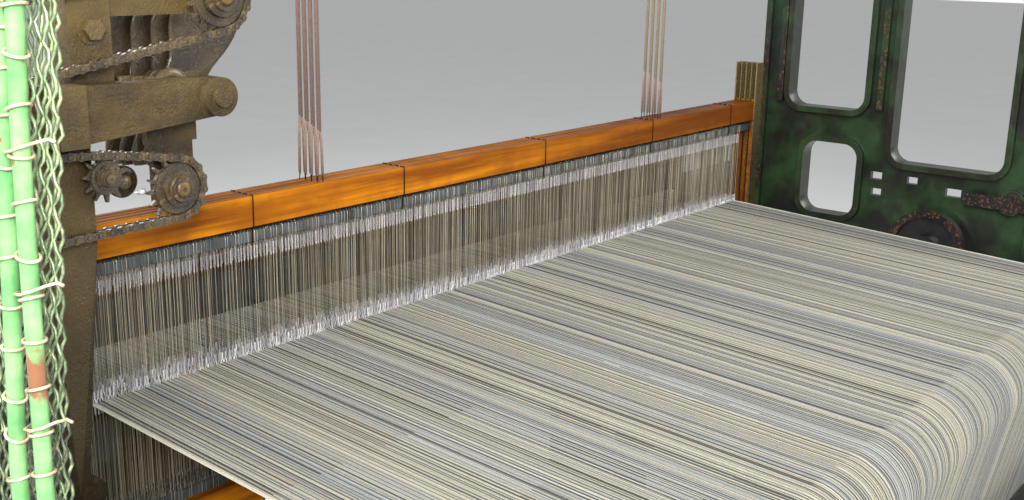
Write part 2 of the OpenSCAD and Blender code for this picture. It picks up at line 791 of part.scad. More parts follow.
// Swords: cast uprights from the rocking shaft to the sley board
module swords() {
    sley_bottom = race_h - sley_t;
    color(green) place() for (s = [-1, 1]) difference() {
        side_plate(s * sword_x - sword_t / 2, sword_t) {
            polygon([
                [-reed_y - 38, rock_h], [-reed_y + 38, rock_h], [-reed_y + 22, sley_bottom - 60],
                [-reed_y + 36, sley_bottom], [-reed_y - 70, sley_bottom], [-reed_y - 24, sley_bottom - 90]
            ]);
            translate([-reed_y, rock_h]) circle(rock_d / 2 + 20);
        }
        bar_x(s * sword_x - sword_t, s * sword_x + sword_t, -reed_y, rock_h, rock_d / 2 + run_gap);
        side_plate(s * sword_x - sword_t, 2 * sword_t)
            round_bar([-reed_y, rock_h + 110], [-reed_y, sword_pin_z - 120], 11);
    }
}

// Sley board with the race in front of the reed; its ends carry the boxes
board_back = -reed_y + 26;
board_front = -reed_y - race_w;
stroke = 170;
box_in = frame_in - 45;
reed_t = 6;
groove_w = reed_t + 2 * part_gap;
groove_h = 24;
seat_gap = 0.2;
shuttle_y = -reed_y - 6 - 24;

module sley_board() {
    color(wood) place() difference() {
        box([-sley_half, board_front, race_h - sley_t], [sley_half, board_back, race_h]);
        box([-warp_w / 2 - 8, -reed_y - groove_w / 2, race_h - groove_h],
            [warp_w / 2 + 8, -reed_y + groove_w / 2, race_h + 1]);
        for (s = [-1, 1])
            box([s > 0 ? stick_x - stroke - 24 : -stick_x - 24, shuttle_y - 22, race_h - sley_t - 1],
                [s > 0 ? stick_x + 24 : -stick_x + stroke + 24, shuttle_y + 22, race_h + 1]);
    }
}

// Reed: a wall of upright wires between two baulks
module reed() {
    half = warp_w / 2;
    baulk = groove_h - seat_gap;
    low = race_h - baulk;
    tall = baulk + reed_open + baulk;
    color(steel) place() translate([0, -reed_y + reed_t / 2, low]) rotate([90, 0, 0])
        linear_extrude(reed_t) difference() {
            translate([-half - 6, 0]) square([warp_w + 12, tall]);
            for (k = [0 : warp_gaps])
                translate([-half + k * band_pitch + (k == 0 ? 0 : reed_wire / 2), baulk])
                    square([band_pitch - reed_wire / (k == 0 || k == warp_gaps ? 2 : 1), reed_open]);
        }
}

// Wooden cap that holds the top of the reed, on two end blocks
module reed_cap() {
    cap_low = race_h + reed_open;
    color(wood) place() difference() {
        union() {
            side_plate(-box_in + 4, 2 * box_in - 8) {
                translate([-reed_y - 17, cap_low]) square([34, 30]);
                translate([-reed_y, cap_low + 30]) circle(17);
            }
            for (s = [-1, 1])
                box([s * (box_in - 14) - 10, -reed_y - 17, race_h],
                    [s * (box_in - 14) + 10, -reed_y + 17, cap_low + 10]);
        }
        box([-warp_w / 2 - 8, -reed_y - groove_w / 2, cap_low - 1],
            [warp_w / 2 + 8, -reed_y + groove_w / 2, cap_low + groove_h]);
    }
}

// Shuttle boxes: a back, a front and a cover over each end of the sley
box_h = 40;
box_w = 50;
wall_t = 8;

module shuttle_boxes() {
    y0 = shuttle_y - box_w / 2;
    y1 = shuttle_y + box_w / 2;
    color(iron) place() for (s = [-1, 1]) {
        x0 = s > 0 ? box_in + 20 : -sley_half;
        x1 = s > 0 ? sley_half : -box_in - 20;
        box([x0, y1, race_h], [x1, y1 + wall_t, race_h + box_h]);
        box([x0, y0 - wall_t, race_h], [x1, y0, race_h + box_h - 8]);
        box([x0, shuttle_y + 17, race_h + box_h], [x1, y1 + wall_t, race_h + box_h + 5]);
        box([s > 0 ? x1 - 6 : x0, y0 - 1, race_h], [s > 0 ? x1 : x0 + 6, y1 + 1, race_h + box_h]);
    }
}

// Shuttle: a boat with pointed steel tips and a well for the yarn pirn
shuttle_l = 330;
shuttle_w = 42;
shuttle_h = 30;

module shuttle() {
    mid = -(box_in + 20 + shuttle_l / 2 - 15);
    color(wood) place() translate([mid, shuttle_y, race_h + part_gap]) {
        difference() {
            linear_extrude(shuttle_h) polygon([
                [-shuttle_l / 2 + 46, -shuttle_w / 2], [shuttle_l / 2 - 46, -shuttle_w / 2],
                [shuttle_l / 2 - 12, -6], [shuttle_l / 2 - 12, 6], [shuttle_l / 2 - 46, shuttle_w / 2],
                [-shuttle_l / 2 + 46, shuttle_w / 2], [-shuttle_l / 2 + 12, 6], [-shuttle_l / 2 + 12, -6]
            ]);
            translate([-95, -14, 8]) cube([190, 28, shuttle_h]);
        }
        for (s = [-1, 1]) translate([s * (shuttle_l / 2 - 13), 0, shuttle_h / 2]) rotate([0, s * 90, 0])
            cylinder(r1 = 6, r2 = 1, h = 18);
        translate([-80, 0, 17]) rotate([0, 90, 0]) cylinder(r1 = 8, r2 = 4, h = 150);
        translate([-96, 0, 17]) rotate([0, 90, 0]) cylinder(r = 4, h = 20);
    }
}

// Picking sticks with a picker at the top of each
module picking_stick(s) {
    top = race_h + box_h - 6;
    color(wood) place() difference() {
        union() {
            box([s * stick_x - 13, -reed_y - 13, stick_pivot_h - 16],
                [s * stick_x + 13, -reed_y + 13, stick_pivot_h + 60]);
            translate([s * stick_x - 10, 0, 0]) rotate([90, 0, 90]) linear_extrude(20) polygon([
                [-reed_y - 12, stick_pivot_h + 40], [-reed_y + 12, stick_pivot_h + 40],
                [shuttle_y + 10, race_h - 140], [shuttle_y + 10, top], [shuttle_y - 10, top],
                [shuttle_y - 10, race_h - 140]
            ]);
            box([s * stick_x - 15, shuttle_y - 18, race_h + 3], [s * stick_x + 15, shuttle_y + 18, top]);
        }
        bar_y(-reed_y - 20, -reed_y + 20, s * stick_x, stick_pivot_h, 8 + run_gap);
    }
    color(steel) place() bar_y(-reed_y - 32, -reed_y + 32, s * stick_x, stick_pivot_h, 8 - run_gap);
}
module near_picking_stick() { picking_stick(1); }
module far_picking_stick() { picking_stick(-1); }

// Chain wheels at the near end; each is a toothed disc on a hub
chain_y = post_ys[1] + 10;
low_z = eye_h + low_wheel_h;
tension_x = 748;
tension_z = eye_h + 268;
upper_x0 = 600;
upper_z = eye_h + 443;
low_drive_z = eye_h + 256;
up_drive_z = eye_h + 386;
wheel_t = 5;
low_teeth = 16;
tension_teeth = 11;
drive_teeth = 24;
upper_teeth = 18;
function pitch_r(n) = chain_pitch / (2 * sin(180 / n));

function wheel_outline(n) = [for (k = [0 : n - 1], c = [0 : 3])
    let (r = pitch_r(n) + (c == 0 || c == 3 ? -4.4 : 3.2),
         a = (k + [0.28, 0.43, 0.57, 0.72][c]) * 360 / n)
    r * [cos(a), sin(a)]];

module chain_wheel(x, z, n, hub_r, hub_l, pin) {
    translate([x, chain_y, z]) rotate([90, 0, 0]) {
        translate([0, 0, -wheel_t / 2]) linear_extrude(wheel_t) rotate(pin) polygon(wheel_outline(n));
        translate([0, 0, -wheel_t / 2 - 2]) difference() {
            cylinder(r = pitch_r(n) - 5.5, h = 3);
            translate([0, 0, -1]) cylinder(r = max(hub_r - 1, pitch_r(n) - 14), h = 3);
        }
        translate([0, 0, -wheel_t / 2 - hub_l]) cylinder(r = hub_r, h = hub_l + wheel_t / 2);
        translate([0, 0, -wheel_t / 2 - hub_l - 5]) cylinder(r = hub_r * 0.7, h = 6);
    }
}

module lower_chain_wheel() {
    color(iron) place() {
        chain_wheel(low_wheel_x, low_z, low_teeth, 19, 7, pin_angle(lower_run, 0));
        bar_y(arm_y[0] - 14, chain_y + wheel_t / 2 + 14, low_wheel_x, low_z, pin_r - run_gap);
    }
}

module tension_wheel() {
    color(iron) place() {
        chain_wheel(tension_x, tension_z, tension_teeth, 12, 4, pin_angle(lower_run, 2));
        bar_y(post_ys[0] + 2, chain_y + wheel_t / 2 + 11, tension_x, tension_z, pin_r - run_gap);
    }
}

module upper_chain_wheel() {
    color(iron) place() {
        chain_wheel(upper_x0, upper_z, upper_teeth, 21, 8, pin_angle(upper_run, 0));
        bar_y(post_ys[0], chain_y + wheel_t / 2 + 16, upper_x0, upper_z, pin_r - run_gap);
    }
}

module lower_drive_wheel() {
    color(iron) place() {
        chain_wheel(drive_x, low_drive_z, drive_teeth, 22, 6, pin_angle(lower_run, 1));
        bar_y(chain_y - 8, gearbox_y + 4, drive_x, low_drive_z, drive_pin_r);
    }
}

module upper_drive_wheel() {
    color(iron) place() {
        chain_wheel(drive_x, up_drive_z, upper_teeth, 20, 6, pin_angle(upper_run, 1));
        bar_y(chain_y - 8, gearbox_y + 4, drive_x, up_drive_z, drive_pin_r);
    }
}

// Stand with two cast gearboxes: the upright shaft runs from the bottom shaft to the chains
gearbox_y = 96;
gearbox_low = low_drive_z - 62;
column_y = [150, 190];
bevel_low = bottom_h - 46;
bevel_high = bottom_h + 60;
stem_r = 13;
drive_pin_r = 10;
bottom_end = gear_x + gear_t + 8;

module chain_gearbox() {
    x0 = gear_x + gear_t + 4;
    color(green) place() difference() {
        union() {
            box([drive_x - 46, gearbox_y, gearbox_low], [drive_x + 46, column_y[1], up_drive_z + 52]);
            box([x0, bottom_y - 45, bevel_low], [drive_x + 30, column_y[1], bevel_high]);
            box([drive_x - 20, column_y[0], 0], [drive_x + 20, column_y[1], gearbox_low + 10]);
            box([drive_x - 50, bottom_y - 40, 0], [drive_x + 60, column_y[1] + 40, 18]);
            box([frame_out, column_y[0] + 8, rear_h - 50], [drive_x, column_y[1] - 8, rear_h - 24]);
        }
        for (z = [low_drive_z, up_drive_z])
            bar_y(gearbox_y - 1, gearbox_y + 5, drive_x, z, drive_pin_r + run_gap);
        bar_x(x0 - 1, bottom_end + 1, bottom_y, bottom_h, bottom_d / 2 + run_gap);
        translate([drive_x, bottom_y, bevel_high - 6]) cylinder(r = stem_r + run_gap, h = 10);
        translate([drive_x, bottom_y, gearbox_low - 1]) cylinder(r = stem_r + run_gap, h = 8);
    }
}

module upright_shaft() {
    color(steel) place() translate([drive_x, bottom_y, bevel_high - 5])
        cylinder(r = stem_r, h = gearbox_low - bevel_high + 10);
}

// A closed loop round wheels given as [x, y, radius], taken anticlockwise.
function leave_dir(a, b) =
    atan2(b.y - a.y, b.x - a.x) + asin((a[2] - b[2]) / norm([b.x - a.x, b.y - a.y]));
function turn_of(a, b) = b - a - 360 * floor((b - a) / 360);
function at_wheel(c, dir) = [c.x, c.y] + c[2] * [sin(dir), -cos(dir)];
function loop_parts(c) =
    let (n = len(c), dirs = [for (i = [0 : n - 1]) leave_dir(c[i], c[(i + 1) % n])])
    [for (i = [0 : n - 1], k = [0, 1])
        let (d0 = dirs[(i + n - 1) % n], d1 = dirs[i])
        let (a = at_wheel(c[i], d1), b = at_wheel(c[(i + 1) % n], d1))
        k == 0 ? ["turn", c[i][2] * turn_of(d0, d1) * PI / 180, c[i], d0] : ["run", norm(b - a), a, d1]];
function on_part(p, s) = p[0] == "run"
    ? p[2] + s * [cos(p[3]), sin(p[3])]
    : at_wheel(p[2], p[3] + s / p[2][2] * 180 / PI);
function walk(parts, s, i = 0) = s <= parts[i][1] || i == len(parts) - 1
    ? on_part(parts[i], s)
    : walk(parts, s - parts[i][1], i + 1);
function before(parts, i) = i == 0 ? 0 : parts[i - 1][1] + before(parts, i - 1);
function total(parts) = before(parts, len(parts));
function link_count(parts) = 2 * round(total(parts) / chain_pitch / 2);
function link_step(parts) = total(parts) / link_count(parts);

// Direction of the pin nearest to the middle of a loop's arc on one of its wheels.
function pin_angle(parts, wheel) =
    let (arc = parts[2 * wheel], start = before(parts, 2 * wheel), step = link_step(parts))
    let (k = round((start + arc[1] / 2) / step))
    arc[3] - 90 + (k * step - start) / arc[2][2] * 180 / PI;

lower_run = loop_parts([
    [low_wheel_x, low_z, pitch_r(low_teeth)],
    [drive_x, low_drive_z, pitch_r(drive_teeth)],
    [tension_x, tension_z, pitch_r(tension_teeth)]
]);
upper_run = loop_parts([
    [upper_x0, upper_z, pitch_r(upper_teeth)], [drive_x, up_drive_z, pitch_r(upper_teeth)]
]);

// Roller chains, laid link by link round their wheels: inner and outer links in turn
link_r = 4.6;
roller_r = 3.6;
plate_t = 1.5;
inner_w = wheel_t + 1.2;

module stadium(run, r) {
    translate([0, -r * 0.8]) square([run, 1.6 * r]);
    circle(r, $fn = 24);
    translate([run, 0]) circle(r, $fn = 24);
}

module inner_link(run) {
    for (z = [-inner_w / 2 - plate_t, inner_w / 2])
        translate([0, 0, z]) linear_extrude(plate_t) stadium(run, link_r);
    for (x = [0, run]) translate([x, 0, -inner_w / 2 - 0.5])
        cylinder(r = roller_r, h = inner_w + 1, $fn = 24);
}

module outer_link(run) {
    for (s = [-1, 1]) {
        z = s * (inner_w / 2 + plate_t + 0.15 + plate_t / 2);
        translate([0, 0, z - plate_t / 2]) linear_extrude(plate_t) stadium(run, link_r);
        for (x = [0, run]) translate([x, 0, s > 0 ? z : z - plate_t / 2 - 1])
            cylinder(r = 2, h = plate_t / 2 + 1, $fn = 24);
    }
}

module chain_loop(parts) {
    n = link_count(parts);
    pins = [for (k = [0 : n]) walk(parts, (k % n) * link_step(parts))];
    translate([0, chain_y, 0]) rotate([90, 0, 0]) for (k = [0 : n - 1]) {
        gap = pins[k + 1] - pins[k];
        translate(pins[k]) rotate(atan2(gap.y, gap.x))
            if (k % 2 == 0) inner_link(norm(gap)); else outer_link(norm(gap));
    }
}

module roller_chains() {
    color(iron) place() {
        chain_loop(lower_run);
        chain_loop(upper_run);
    }
}

// Motor outside the far frame and the flat belt up to the flywheel pulley
motor_y = 450;
motor_h = 170;
motor_r = 84;
motor_pulley_r = 45;
motor_l = 210;
belt_t = 5;
belt_w = 46;
belt_x = fly_x - fly_w / 2;
motor_x = fly_x - fly_w - 22;
motor_shaft_r = 12;

module motor() {
    color(iron) place() difference() {
        union() {
            bar_x(motor_x - motor_l, motor_x, motor_y, motor_h, motor_r);
            for (k = [0 : 11]) translate([motor_x - motor_l / 2, motor_y, motor_h])
                rotate([k * 30, 0, 0]) translate([0, 0, motor_r]) cube([motor_l - 60, 6, 16], center = true);
            box([motor_x - motor_l + 30, motor_y - 90, 24], [motor_x - 30, motor_y + 90, 60]);
            box([motor_x - motor_l + 40, motor_y - 60, 50], [motor_x - 40, motor_y + 60, motor_h]);
            box([motor_x - motor_l, motor_y - 110, 0], [-frame_out - 1, motor_y + 110, 26]);
            box([-frame_out - 14, motor_y - 110, 0], [-frame_out, motor_y + 110, foot_h + 80]);
        }
        bar_x(motor_x - 20, motor_x + 1, motor_y, motor_h, motor_shaft_r + run_gap);
    }
}

module motor_pulley() {
    color(steel) place() {
        bar_x(fly_x - fly_w, fly_x, motor_y, motor_h, motor_pulley_r);
        bar_x(motor_x - 18, fly_x - fly_w + 1, motor_y, motor_h, motor_shaft_r);
    }
}

module drive_belt() {
    gap = 0.5;
    function ring(extra) = let (parts = loop_parts([
            [crank_y, crank_h, fly_r + extra], [motor_y, motor_h, motor_pulley_r + extra]
        ]), long = total(parts))
        [for (p = parts, k = [0 : 47]) on_part(p, p[1] * k / 48)];
    color("saddlebrown") place() side_plate(belt_x - belt_w / 2, belt_w) difference() {
        polygon(ring(gap + belt_t));
        polygon(ring(gap));
    }
}

// Wire guard outside the near frame, on green posts and stays
guard_y = [62, 571];
guard_low = 250;
guard_post_r = 7;
guard_wire = 4;
guard_posts = [guard_y[0] + 8, 290, 520, 541];
guard_stays = [
    for (y = [guard_posts[0] + 12, guard_posts[2]], z = [foot_h + 60, rear_h - 34]) [y, z]
];

module end_guard() {
    mesh_h = guard_h - guard_low - 14;
    col = (guard_y[1] - guard_y[0] - guard_wire) / guard_cols;
    row = (mesh_h - guard_wire) / guard_rows;
    color("seagreen") place() {
        for (y = guard_posts) translate([guard_x, y, 0]) cylinder(r = guard_post_r, h = guard_h);
        for (z = [guard_low, (guard_low + guard_h) / 2, guard_h - 20])
            bar_y(guard_posts[0], guard_posts[3], guard_x, z, guard_post_r - 1);
        for (p = guard_stays) {
            bar_x(frame_out, guard_x, p[0], p[1], guard_post_r - 1);
            bar_x(frame_out, frame_out + 6, p[0], p[1], guard_post_r + 10);
        }
        side_plate(guard_x + guard_post_r + part_gap, guard_wire) difference() {
            translate([guard_y[0], guard_low]) square([guard_y[1] - guard_y[0], mesh_h]);
            for (i = [0 : guard_cols - 1], k = [0 : guard_rows - 1])
                translate([guard_y[0] + guard_wire + i * col, guard_low + guard_wire + k * row])
                    square([col - guard_wire, row - guard_wire]);
        }
    }
}

// Warp beam: a barrel on a through shaft with a ribbed flange at each end
beam_flange_t = 12;

module warp_beam() {
    flange_x = warp_w / 2 + 4;
    color(iron) place() {
        bar_x(-frame_out - 4, frame_out + 4, beam_y, beam_h, beam_journal);
        bar_x(-flange_x, flange_x, beam_y, beam_h, barrel_r);
        for (s = [-1, 1]) {
            x0 = s > 0 ? flange_x : -flange_x - beam_flange_t;
            bar_x(x0, x0 + beam_flange_t, beam_y, beam_h, flange_r);
            bar_x(s > 0 ? flange_x : -flange_x - 40, s > 0 ? flange_x + 40 : -flange_x, beam_y, beam_h, 60);
            for (k = [0 : 7])
                translate([s * (flange_x + beam_flange_t - 1), beam_y, beam_h]) rotate([k * 45, 0, 0])
                translate([s > 0 ? 0 : -15, -6, 55]) cube([15, 12, flange_r - 62]);
        }
    }
}

module warp_roll() {
    color(yarn) place() difference() {
        bar_x(-warp_w / 2, warp_w / 2, beam_y, beam_h, roll_r);
        bar_x(-warp_w / 2 - 1, warp_w / 2 + 1, beam_y, beam_h, barrel_r + run_gap);
    }
}

module back_rest() {
    color(wood) place() {
        bar_x(-frame_in + 12, frame_in - 12, rest_y, rest_h, rest_r);
        bar_x(-frame_out - 4, frame_out + 4, rest_y, rest_h, rest_journal);
    }
}

module sand_roller() {
    color(steel) place() {
        bar_x(-frame_in + 20, frame_in - 20, sand_y, sand_h, sand_r);
        bar_x(-frame_out - 4, frame_out + 4, sand_y, sand_h, roller_journal);
    }
}

module cloth_roller() {
    color(wood) place() {
        bar_x(-warp_w / 2, warp_w / 2, sand_y, cloth_h, cloth_r);
        bar_x(-frame_out - 4, frame_out + 4, sand_y, cloth_h, roller_journal);
    }
}

// Black hand wheel of the let-off, on its stud in the far frame
wheel_rim_r = 73;

module let_off_wheel() {
    color([0.1, 0.1, 0.1]) place() {
        bar_x(-frame_out - 12, -frame_in + 20, let_off_y, let_off_h, stud_r);
        translate([-frame_in + 3, let_off_y, let_off_h]) rotate([90, 0, 90]) {
            difference() {
                cylinder(r = wheel_rim_r, h = 18);
                translate([0, 0, -1]) cylinder(r = wheel_rim_r - 14, h = 20);
            }
            translate([0, 0, 3]) cylinder(r = wheel_rim_r - 10, h = 6);
            cylinder(r = 24, h = 22);
        }
    }
}

// Easing lever that eases the back rest, pivoted on the far frame
module easing_lever() {
    reach = rest_y + 60;
    tip_y = 447;
    color([0.1, 0.1, 0.1]) place() {
        bar_x(-frame_out - 12, -frame_in + 14, easing_y, easing_h, stud_r);
        side_plate(-frame_in + 2, 12) {
            round_bar([tip_y, easing_h], [easing_y, easing_h], 11);
            round_bar([easing_y, easing_h], [reach, easing_h - 20], 9);
            translate([easing_y, easing_h]) circle(20);
        }
    }
}

// Starting handle at the weaver's right hand
handle_y = -frame_front + 44;
handle_low = eye_h - 270;
handle_top = eye_h + 92;
handle_gap = 12;

module starting_handle() {
    x0 = frame_out + handle_gap;
    color(steel) place() {
        side_plate(x0, 10) {
            round_bar([handle_y, handle_low], [handle_y, handle_top - 110], 13);
            translate([handle_y, handle_low]) circle(24);
        }
        bar_x(frame_out - 14, x0 + 18, handle_y, handle_low, stud_r);
        bar_x(frame_out + part_gap, x0 + 1, handle_y, handle_low, stud_r + 8);
        translate([x0 + 5, handle_y, handle_top - 110]) cylinder(r = 8, h = 20);
        translate([x0 + 5, handle_y, handle_top - 100]) cylinder(r = 15, h = 90);
        translate([x0 + 5, handle_y, handle_top - 10]) sphere(r = 15);
    }
}

near_end_frame();
far_end_frame();
breast_beam();
tie_rails();
overhead_rails();
near_upright();
bracket_arm();
heald_guides();
chain_gearbox();
cord_sheaves();
warp_sheet();
woven_cloth();
harness_cords();
roller_chains();
motor();
motor_pulley();
drive_belt();
end_guard();
crankshaft();
crank_gear();
flywheel();
bottom_shaft();
bottom_gear();
near_crank_arm();
far_crank_arm();
rocking_shaft();
swords();
sley_board();
reed();
reed_cap();
shuttle_boxes();
shuttle();
near_picking_stick();
far_picking_stick();
heald_frame_1();
heald_frame_2();
heald_frame_3();
heald_frame_4();
healds_1();
healds_2();
healds_3();
healds_4();
jack_lever_1();
jack_lever_2();
jack_lever_3();
jack_lever_4();
lower_chain_wheel();
tension_wheel();
upper_chain_wheel();
lower_drive_wheel();
upper_drive_wheel();
upright_shaft();
warp_beam();
warp_roll();
back_rest();
sand_roller();
cloth_roller();
let_off_wheel();
easing_lever();
starting_handle();
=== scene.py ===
"""Looks of a power loom seen from its back: striped warp, wire healds, cords and greasy iron.

Every length is in metres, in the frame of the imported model, unless a name or docstring says
millimetres: X along the loom's width, +Y towards the warp beam, +Z up. Places are measured from
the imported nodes.
"""

import json
import logging
import math
from dataclasses import dataclass
from enum import Enum
from typing import Dict, List, Optional, Sequence, Tuple, Union

import bpy
import numpy as np
from mathutils import Matrix, Vector

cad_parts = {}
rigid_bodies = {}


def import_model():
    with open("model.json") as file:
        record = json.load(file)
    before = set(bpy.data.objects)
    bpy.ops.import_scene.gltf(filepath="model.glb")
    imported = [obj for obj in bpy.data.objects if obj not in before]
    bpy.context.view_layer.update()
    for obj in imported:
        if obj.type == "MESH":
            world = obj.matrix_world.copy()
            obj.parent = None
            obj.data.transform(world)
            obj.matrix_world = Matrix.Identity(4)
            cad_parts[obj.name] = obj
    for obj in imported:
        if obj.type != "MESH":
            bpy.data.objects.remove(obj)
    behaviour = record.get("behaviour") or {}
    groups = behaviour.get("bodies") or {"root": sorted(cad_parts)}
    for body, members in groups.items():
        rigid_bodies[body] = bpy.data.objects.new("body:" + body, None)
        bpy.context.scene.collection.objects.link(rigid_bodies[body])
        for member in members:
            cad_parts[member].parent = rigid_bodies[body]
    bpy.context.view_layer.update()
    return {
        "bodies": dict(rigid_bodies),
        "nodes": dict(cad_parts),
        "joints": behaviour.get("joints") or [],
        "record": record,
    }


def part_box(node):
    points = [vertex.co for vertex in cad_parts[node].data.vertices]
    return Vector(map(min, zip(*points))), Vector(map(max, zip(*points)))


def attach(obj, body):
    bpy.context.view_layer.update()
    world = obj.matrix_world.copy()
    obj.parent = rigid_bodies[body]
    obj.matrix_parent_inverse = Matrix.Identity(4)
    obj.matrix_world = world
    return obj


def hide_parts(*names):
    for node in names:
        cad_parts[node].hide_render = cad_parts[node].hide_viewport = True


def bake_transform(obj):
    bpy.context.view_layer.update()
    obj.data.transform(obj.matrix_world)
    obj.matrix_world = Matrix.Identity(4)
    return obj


LOG = logging.getLogger("loom")
MM = 0.001
SEED = 7
ROOT_BODY = "frame"
SHAFTS = (1, 2, 3, 4)

# How far a heald frame's node reaches above its wooden bar
BAR_LUG = 0.004

Rows = Tuple[Tuple[float, ...], ...]


class Pattern(Enum):
    """How a finish varies over a surface."""

    GREASE = "grease"
    ENAMEL = "enamel"
    METAL = "metal"
    GRAIN = "grain"
    FIBRE = "fibre"
    WEAVE = "weave"
    WIRE = "wire"
    DIPPED = "dipped"


@dataclass(frozen=True)
class Finish:
    """One surface finish; colours are sRGB hex and sizes are in millimetres.

    The last four say how strongly its own extras show: dry dust high up on iron, painted shade that
    darkens wood towards the far side, painted shade low down on dipped wire, and a band rubbed
    through to rust.
    """

    name: str
    pattern: Pattern
    light: str
    dark: str
    roughness: float
    metallic: float = 0.0
    coat: float = 0.0
    sheen: float = 0.0
    size: float = 30.0
    bump: float = 0.1
    specular: float = 0.5
    dust: float = 0.0
    far: float = 0.0
    # Strength of the painted shade low down on dipped wire
    low_shade: float = 0.12
    rub: float = 0.0


# Brushed machine enamel, deep green: even shade, black where oil has run, chipped on its edges
GREEN_ENAMEL = Finish(
    "green_enamel", Pattern.ENAMEL, "#1c3f17", "#0e1609", 0.34, coat=0.2, size=60
)
# Cast iron under old grease and lint: brown, matt, lumpy, with a few wet spots
CAKED_IRON = Finish(
    "caked_cast_iron", Pattern.GREASE, "#5b4a26", "#352a18", 0.4,
    coat=0.15, size=12, bump=0.9, specular=0.35, dust=0.45,
)
# Cast iron wet with oil: darker brown with sharp bright glints along every ridge
OILY_IRON = Finish(
    "oily_cast_iron", Pattern.GREASE, "#54442a", "#1c150c", 0.18, 0.1,
    coat=0.8, size=12, bump=0.9, specular=0.6,
)
# Turned steel, dull with use: cloudy grey and a blurred shine
WORN_STEEL = Finish("worn_steel", Pattern.METAL, "#8f9294", "#46453f", 0.38, 0.9, size=25)
# Rolled spring steel strip: bluish grey and smoother
BLUE_STEEL = Finish("rolled_strip_steel", Pattern.METAL, "#7f868b", "#4d5257", 0.34, 0.7, size=30)
# Tinned steel wire: each wire a little brighter or duller than its neighbour
HEALD_WIRE = Finish("tinned_heald_wire", Pattern.WIRE, "#eadfc6", "#625843", 0.28, 0.3, size=4)
# Soldered eyes and twists: near white glitter
BRIGHT_EYE = Finish("soldered_eye", Pattern.WIRE, "#ffffff", "#a7a2a8", 0.18, 0.25, size=3)
# Bronze bush soaked in oil: reddish brown and wet
OILED_BRONZE = Finish(
    "oiled_bronze", Pattern.GREASE, "#8a4a1c", "#3a1a0a", 0.24, 0.5, coat=0.4, size=6, bump=0.4
)
# Varnished hardwood bar: orange brown, grain along the bar, dusty on top, with painted shade that
# darkens it far away
VARNISHED_WOOD = Finish(
    "varnished_wood", Pattern.GRAIN, "#e08a0e", "#8a4a06", 0.45,
    coat=0.04, size=16, specular=0.15, far=0.7,
)
# Bare beech, oiled by hands: duller and browner
PLAIN_WOOD = Finish(
    "bare_beech", Pattern.GRAIN, "#7a5631", "#3e2713", 0.5, size=14, specular=0.3
)
# Spun cotton yarn: its own colour with a fine fuzz
YARN = Finish("cotton_yarn", Pattern.FIBRE, "#b9b29f", "#4a473f", 0.85, sheen=0.15, size=2)
# Plain weave drawn twice as coarse as it is, so that its ribs still show
CLOTH = Finish(
    "plain_weave_cloth", Pattern.WEAVE, "#9b9686", "#484a4d", 0.9, sheen=0.2, size=2.5
)
# Waxed harness cord: mauve brown and dull
MAUVE_CORD = Finish(
    "waxed_mauve_cord", Pattern.FIBRE, "#957a70", "#5f4a42", 0.6, sheen=0.15, size=3
)
# Waxed cord of the split tails: the same brown, rubbed a little drier
BEIGE_CORD = Finish(
    "waxed_beige_cord", Pattern.FIBRE, "#947b6c", "#66524a", 0.7, sheen=0.15, size=3
)
# Newer cotton cord of the far side: paler
PALE_CORD = Finish(
    "pale_cotton_cord", Pattern.FIBRE, "#ad9a7e", "#7f6b52", 0.7, sheen=0.15, size=3
)
# Blackened steel wire of the hooks: near black with a dull gleam
DARK_WIRE = Finish("blackened_wire", Pattern.METAL, "#3a322c", "#15110f", 0.42, 0.8, size=10)
# Oak tanned belt leather: brown, streaked along its length
LEATHER = Finish("belt_leather", Pattern.GRAIN, "#6b4225", "#2f1a0e", 0.55, size=10)
# Black stove enamel: deep black under a gloss, chipped on its edges
BLACK_ENAMEL = Finish(
    "black_enamel", Pattern.ENAMEL, "#141416", "#060607", 0.3, coat=0.4, size=40
)
# Light green gloss enamel on steel rod: bright, with rust where it has rubbed through
GUARD_GREEN = Finish(
    "light_green_enamel", Pattern.DIPPED, "#92c981", "#5da05c", 0.2, coat=0.6, size=25, rub=0.9
)
# Crimped wire dipped in the same paint: duller, with painted shade low down
GUARD_WIRE = Finish(
    "dipped_crimped_wire", Pattern.DIPPED, "#b2c594", "#5c6e4c", 0.34,
    coat=0.3, size=9, low_shade=0.85,
)
# Tie wire dipped in cream paint: pale, glossy, browned in places
TIE_WIRE = Finish("cream_tie_wire", Pattern.DIPPED, "#dcd6b4", "#a58a68", 0.34, coat=0.3, size=9)
# Painted studio floor: pale, matt and even
FLOOR_GREY = Finish("floor_grey", Pattern.METAL, "#f2f2f1", "#eeeeed", 0.95, size=400)

SLOT_FINISH: Dict[str, Finish] = {
    "green_paint": GREEN_ENAMEL,
    "greasy_iron": OILY_IRON,
    "steel": WORN_STEEL,
    "plain_wood": PLAIN_WOOD,
    "varnished_wood": VARNISHED_WOOD,
    "warp_yarn": YARN,
    "cloth": CLOTH,
    "harness_cord": MAUVE_CORD,
    "leather_belt": LEATHER,
    "black_iron": BLACK_ENAMEL,
}
NODE_FINISH: Dict[str, Finish] = {"near_upright": CAKED_IRON, "bracket_arm": CAKED_IRON}
COAT_ROUGHNESS = 0.2

# Colours that lie over the finishes
LINT = "#5a4a2c"
RUBBED_IRON = "#75623c"
DRY_DUST = "#8a7244"
# Painted shade: greasy iron goes darker towards the bottom
LOW_IRON_SHADE = "#150e07"
THICK_OIL = "#0d0b07"
BARE_RUST = "#5a3722"
# Painted shade: varnished wood goes darker towards the far side
FAR_WOOD_SHADE = "#5c2706"
WOOD_DUST = "#4a3520"
# Painted shade on dipped wire low down
LOW_WIRE_SHADE = "#2c3222"
RED_RUST = "#8a4a32"
RUBBED_RUST = "#8c4930"

# Where they start and where they are full: heights, then places along the width and the depth
DUST_LINE = (1.3, 1.42)
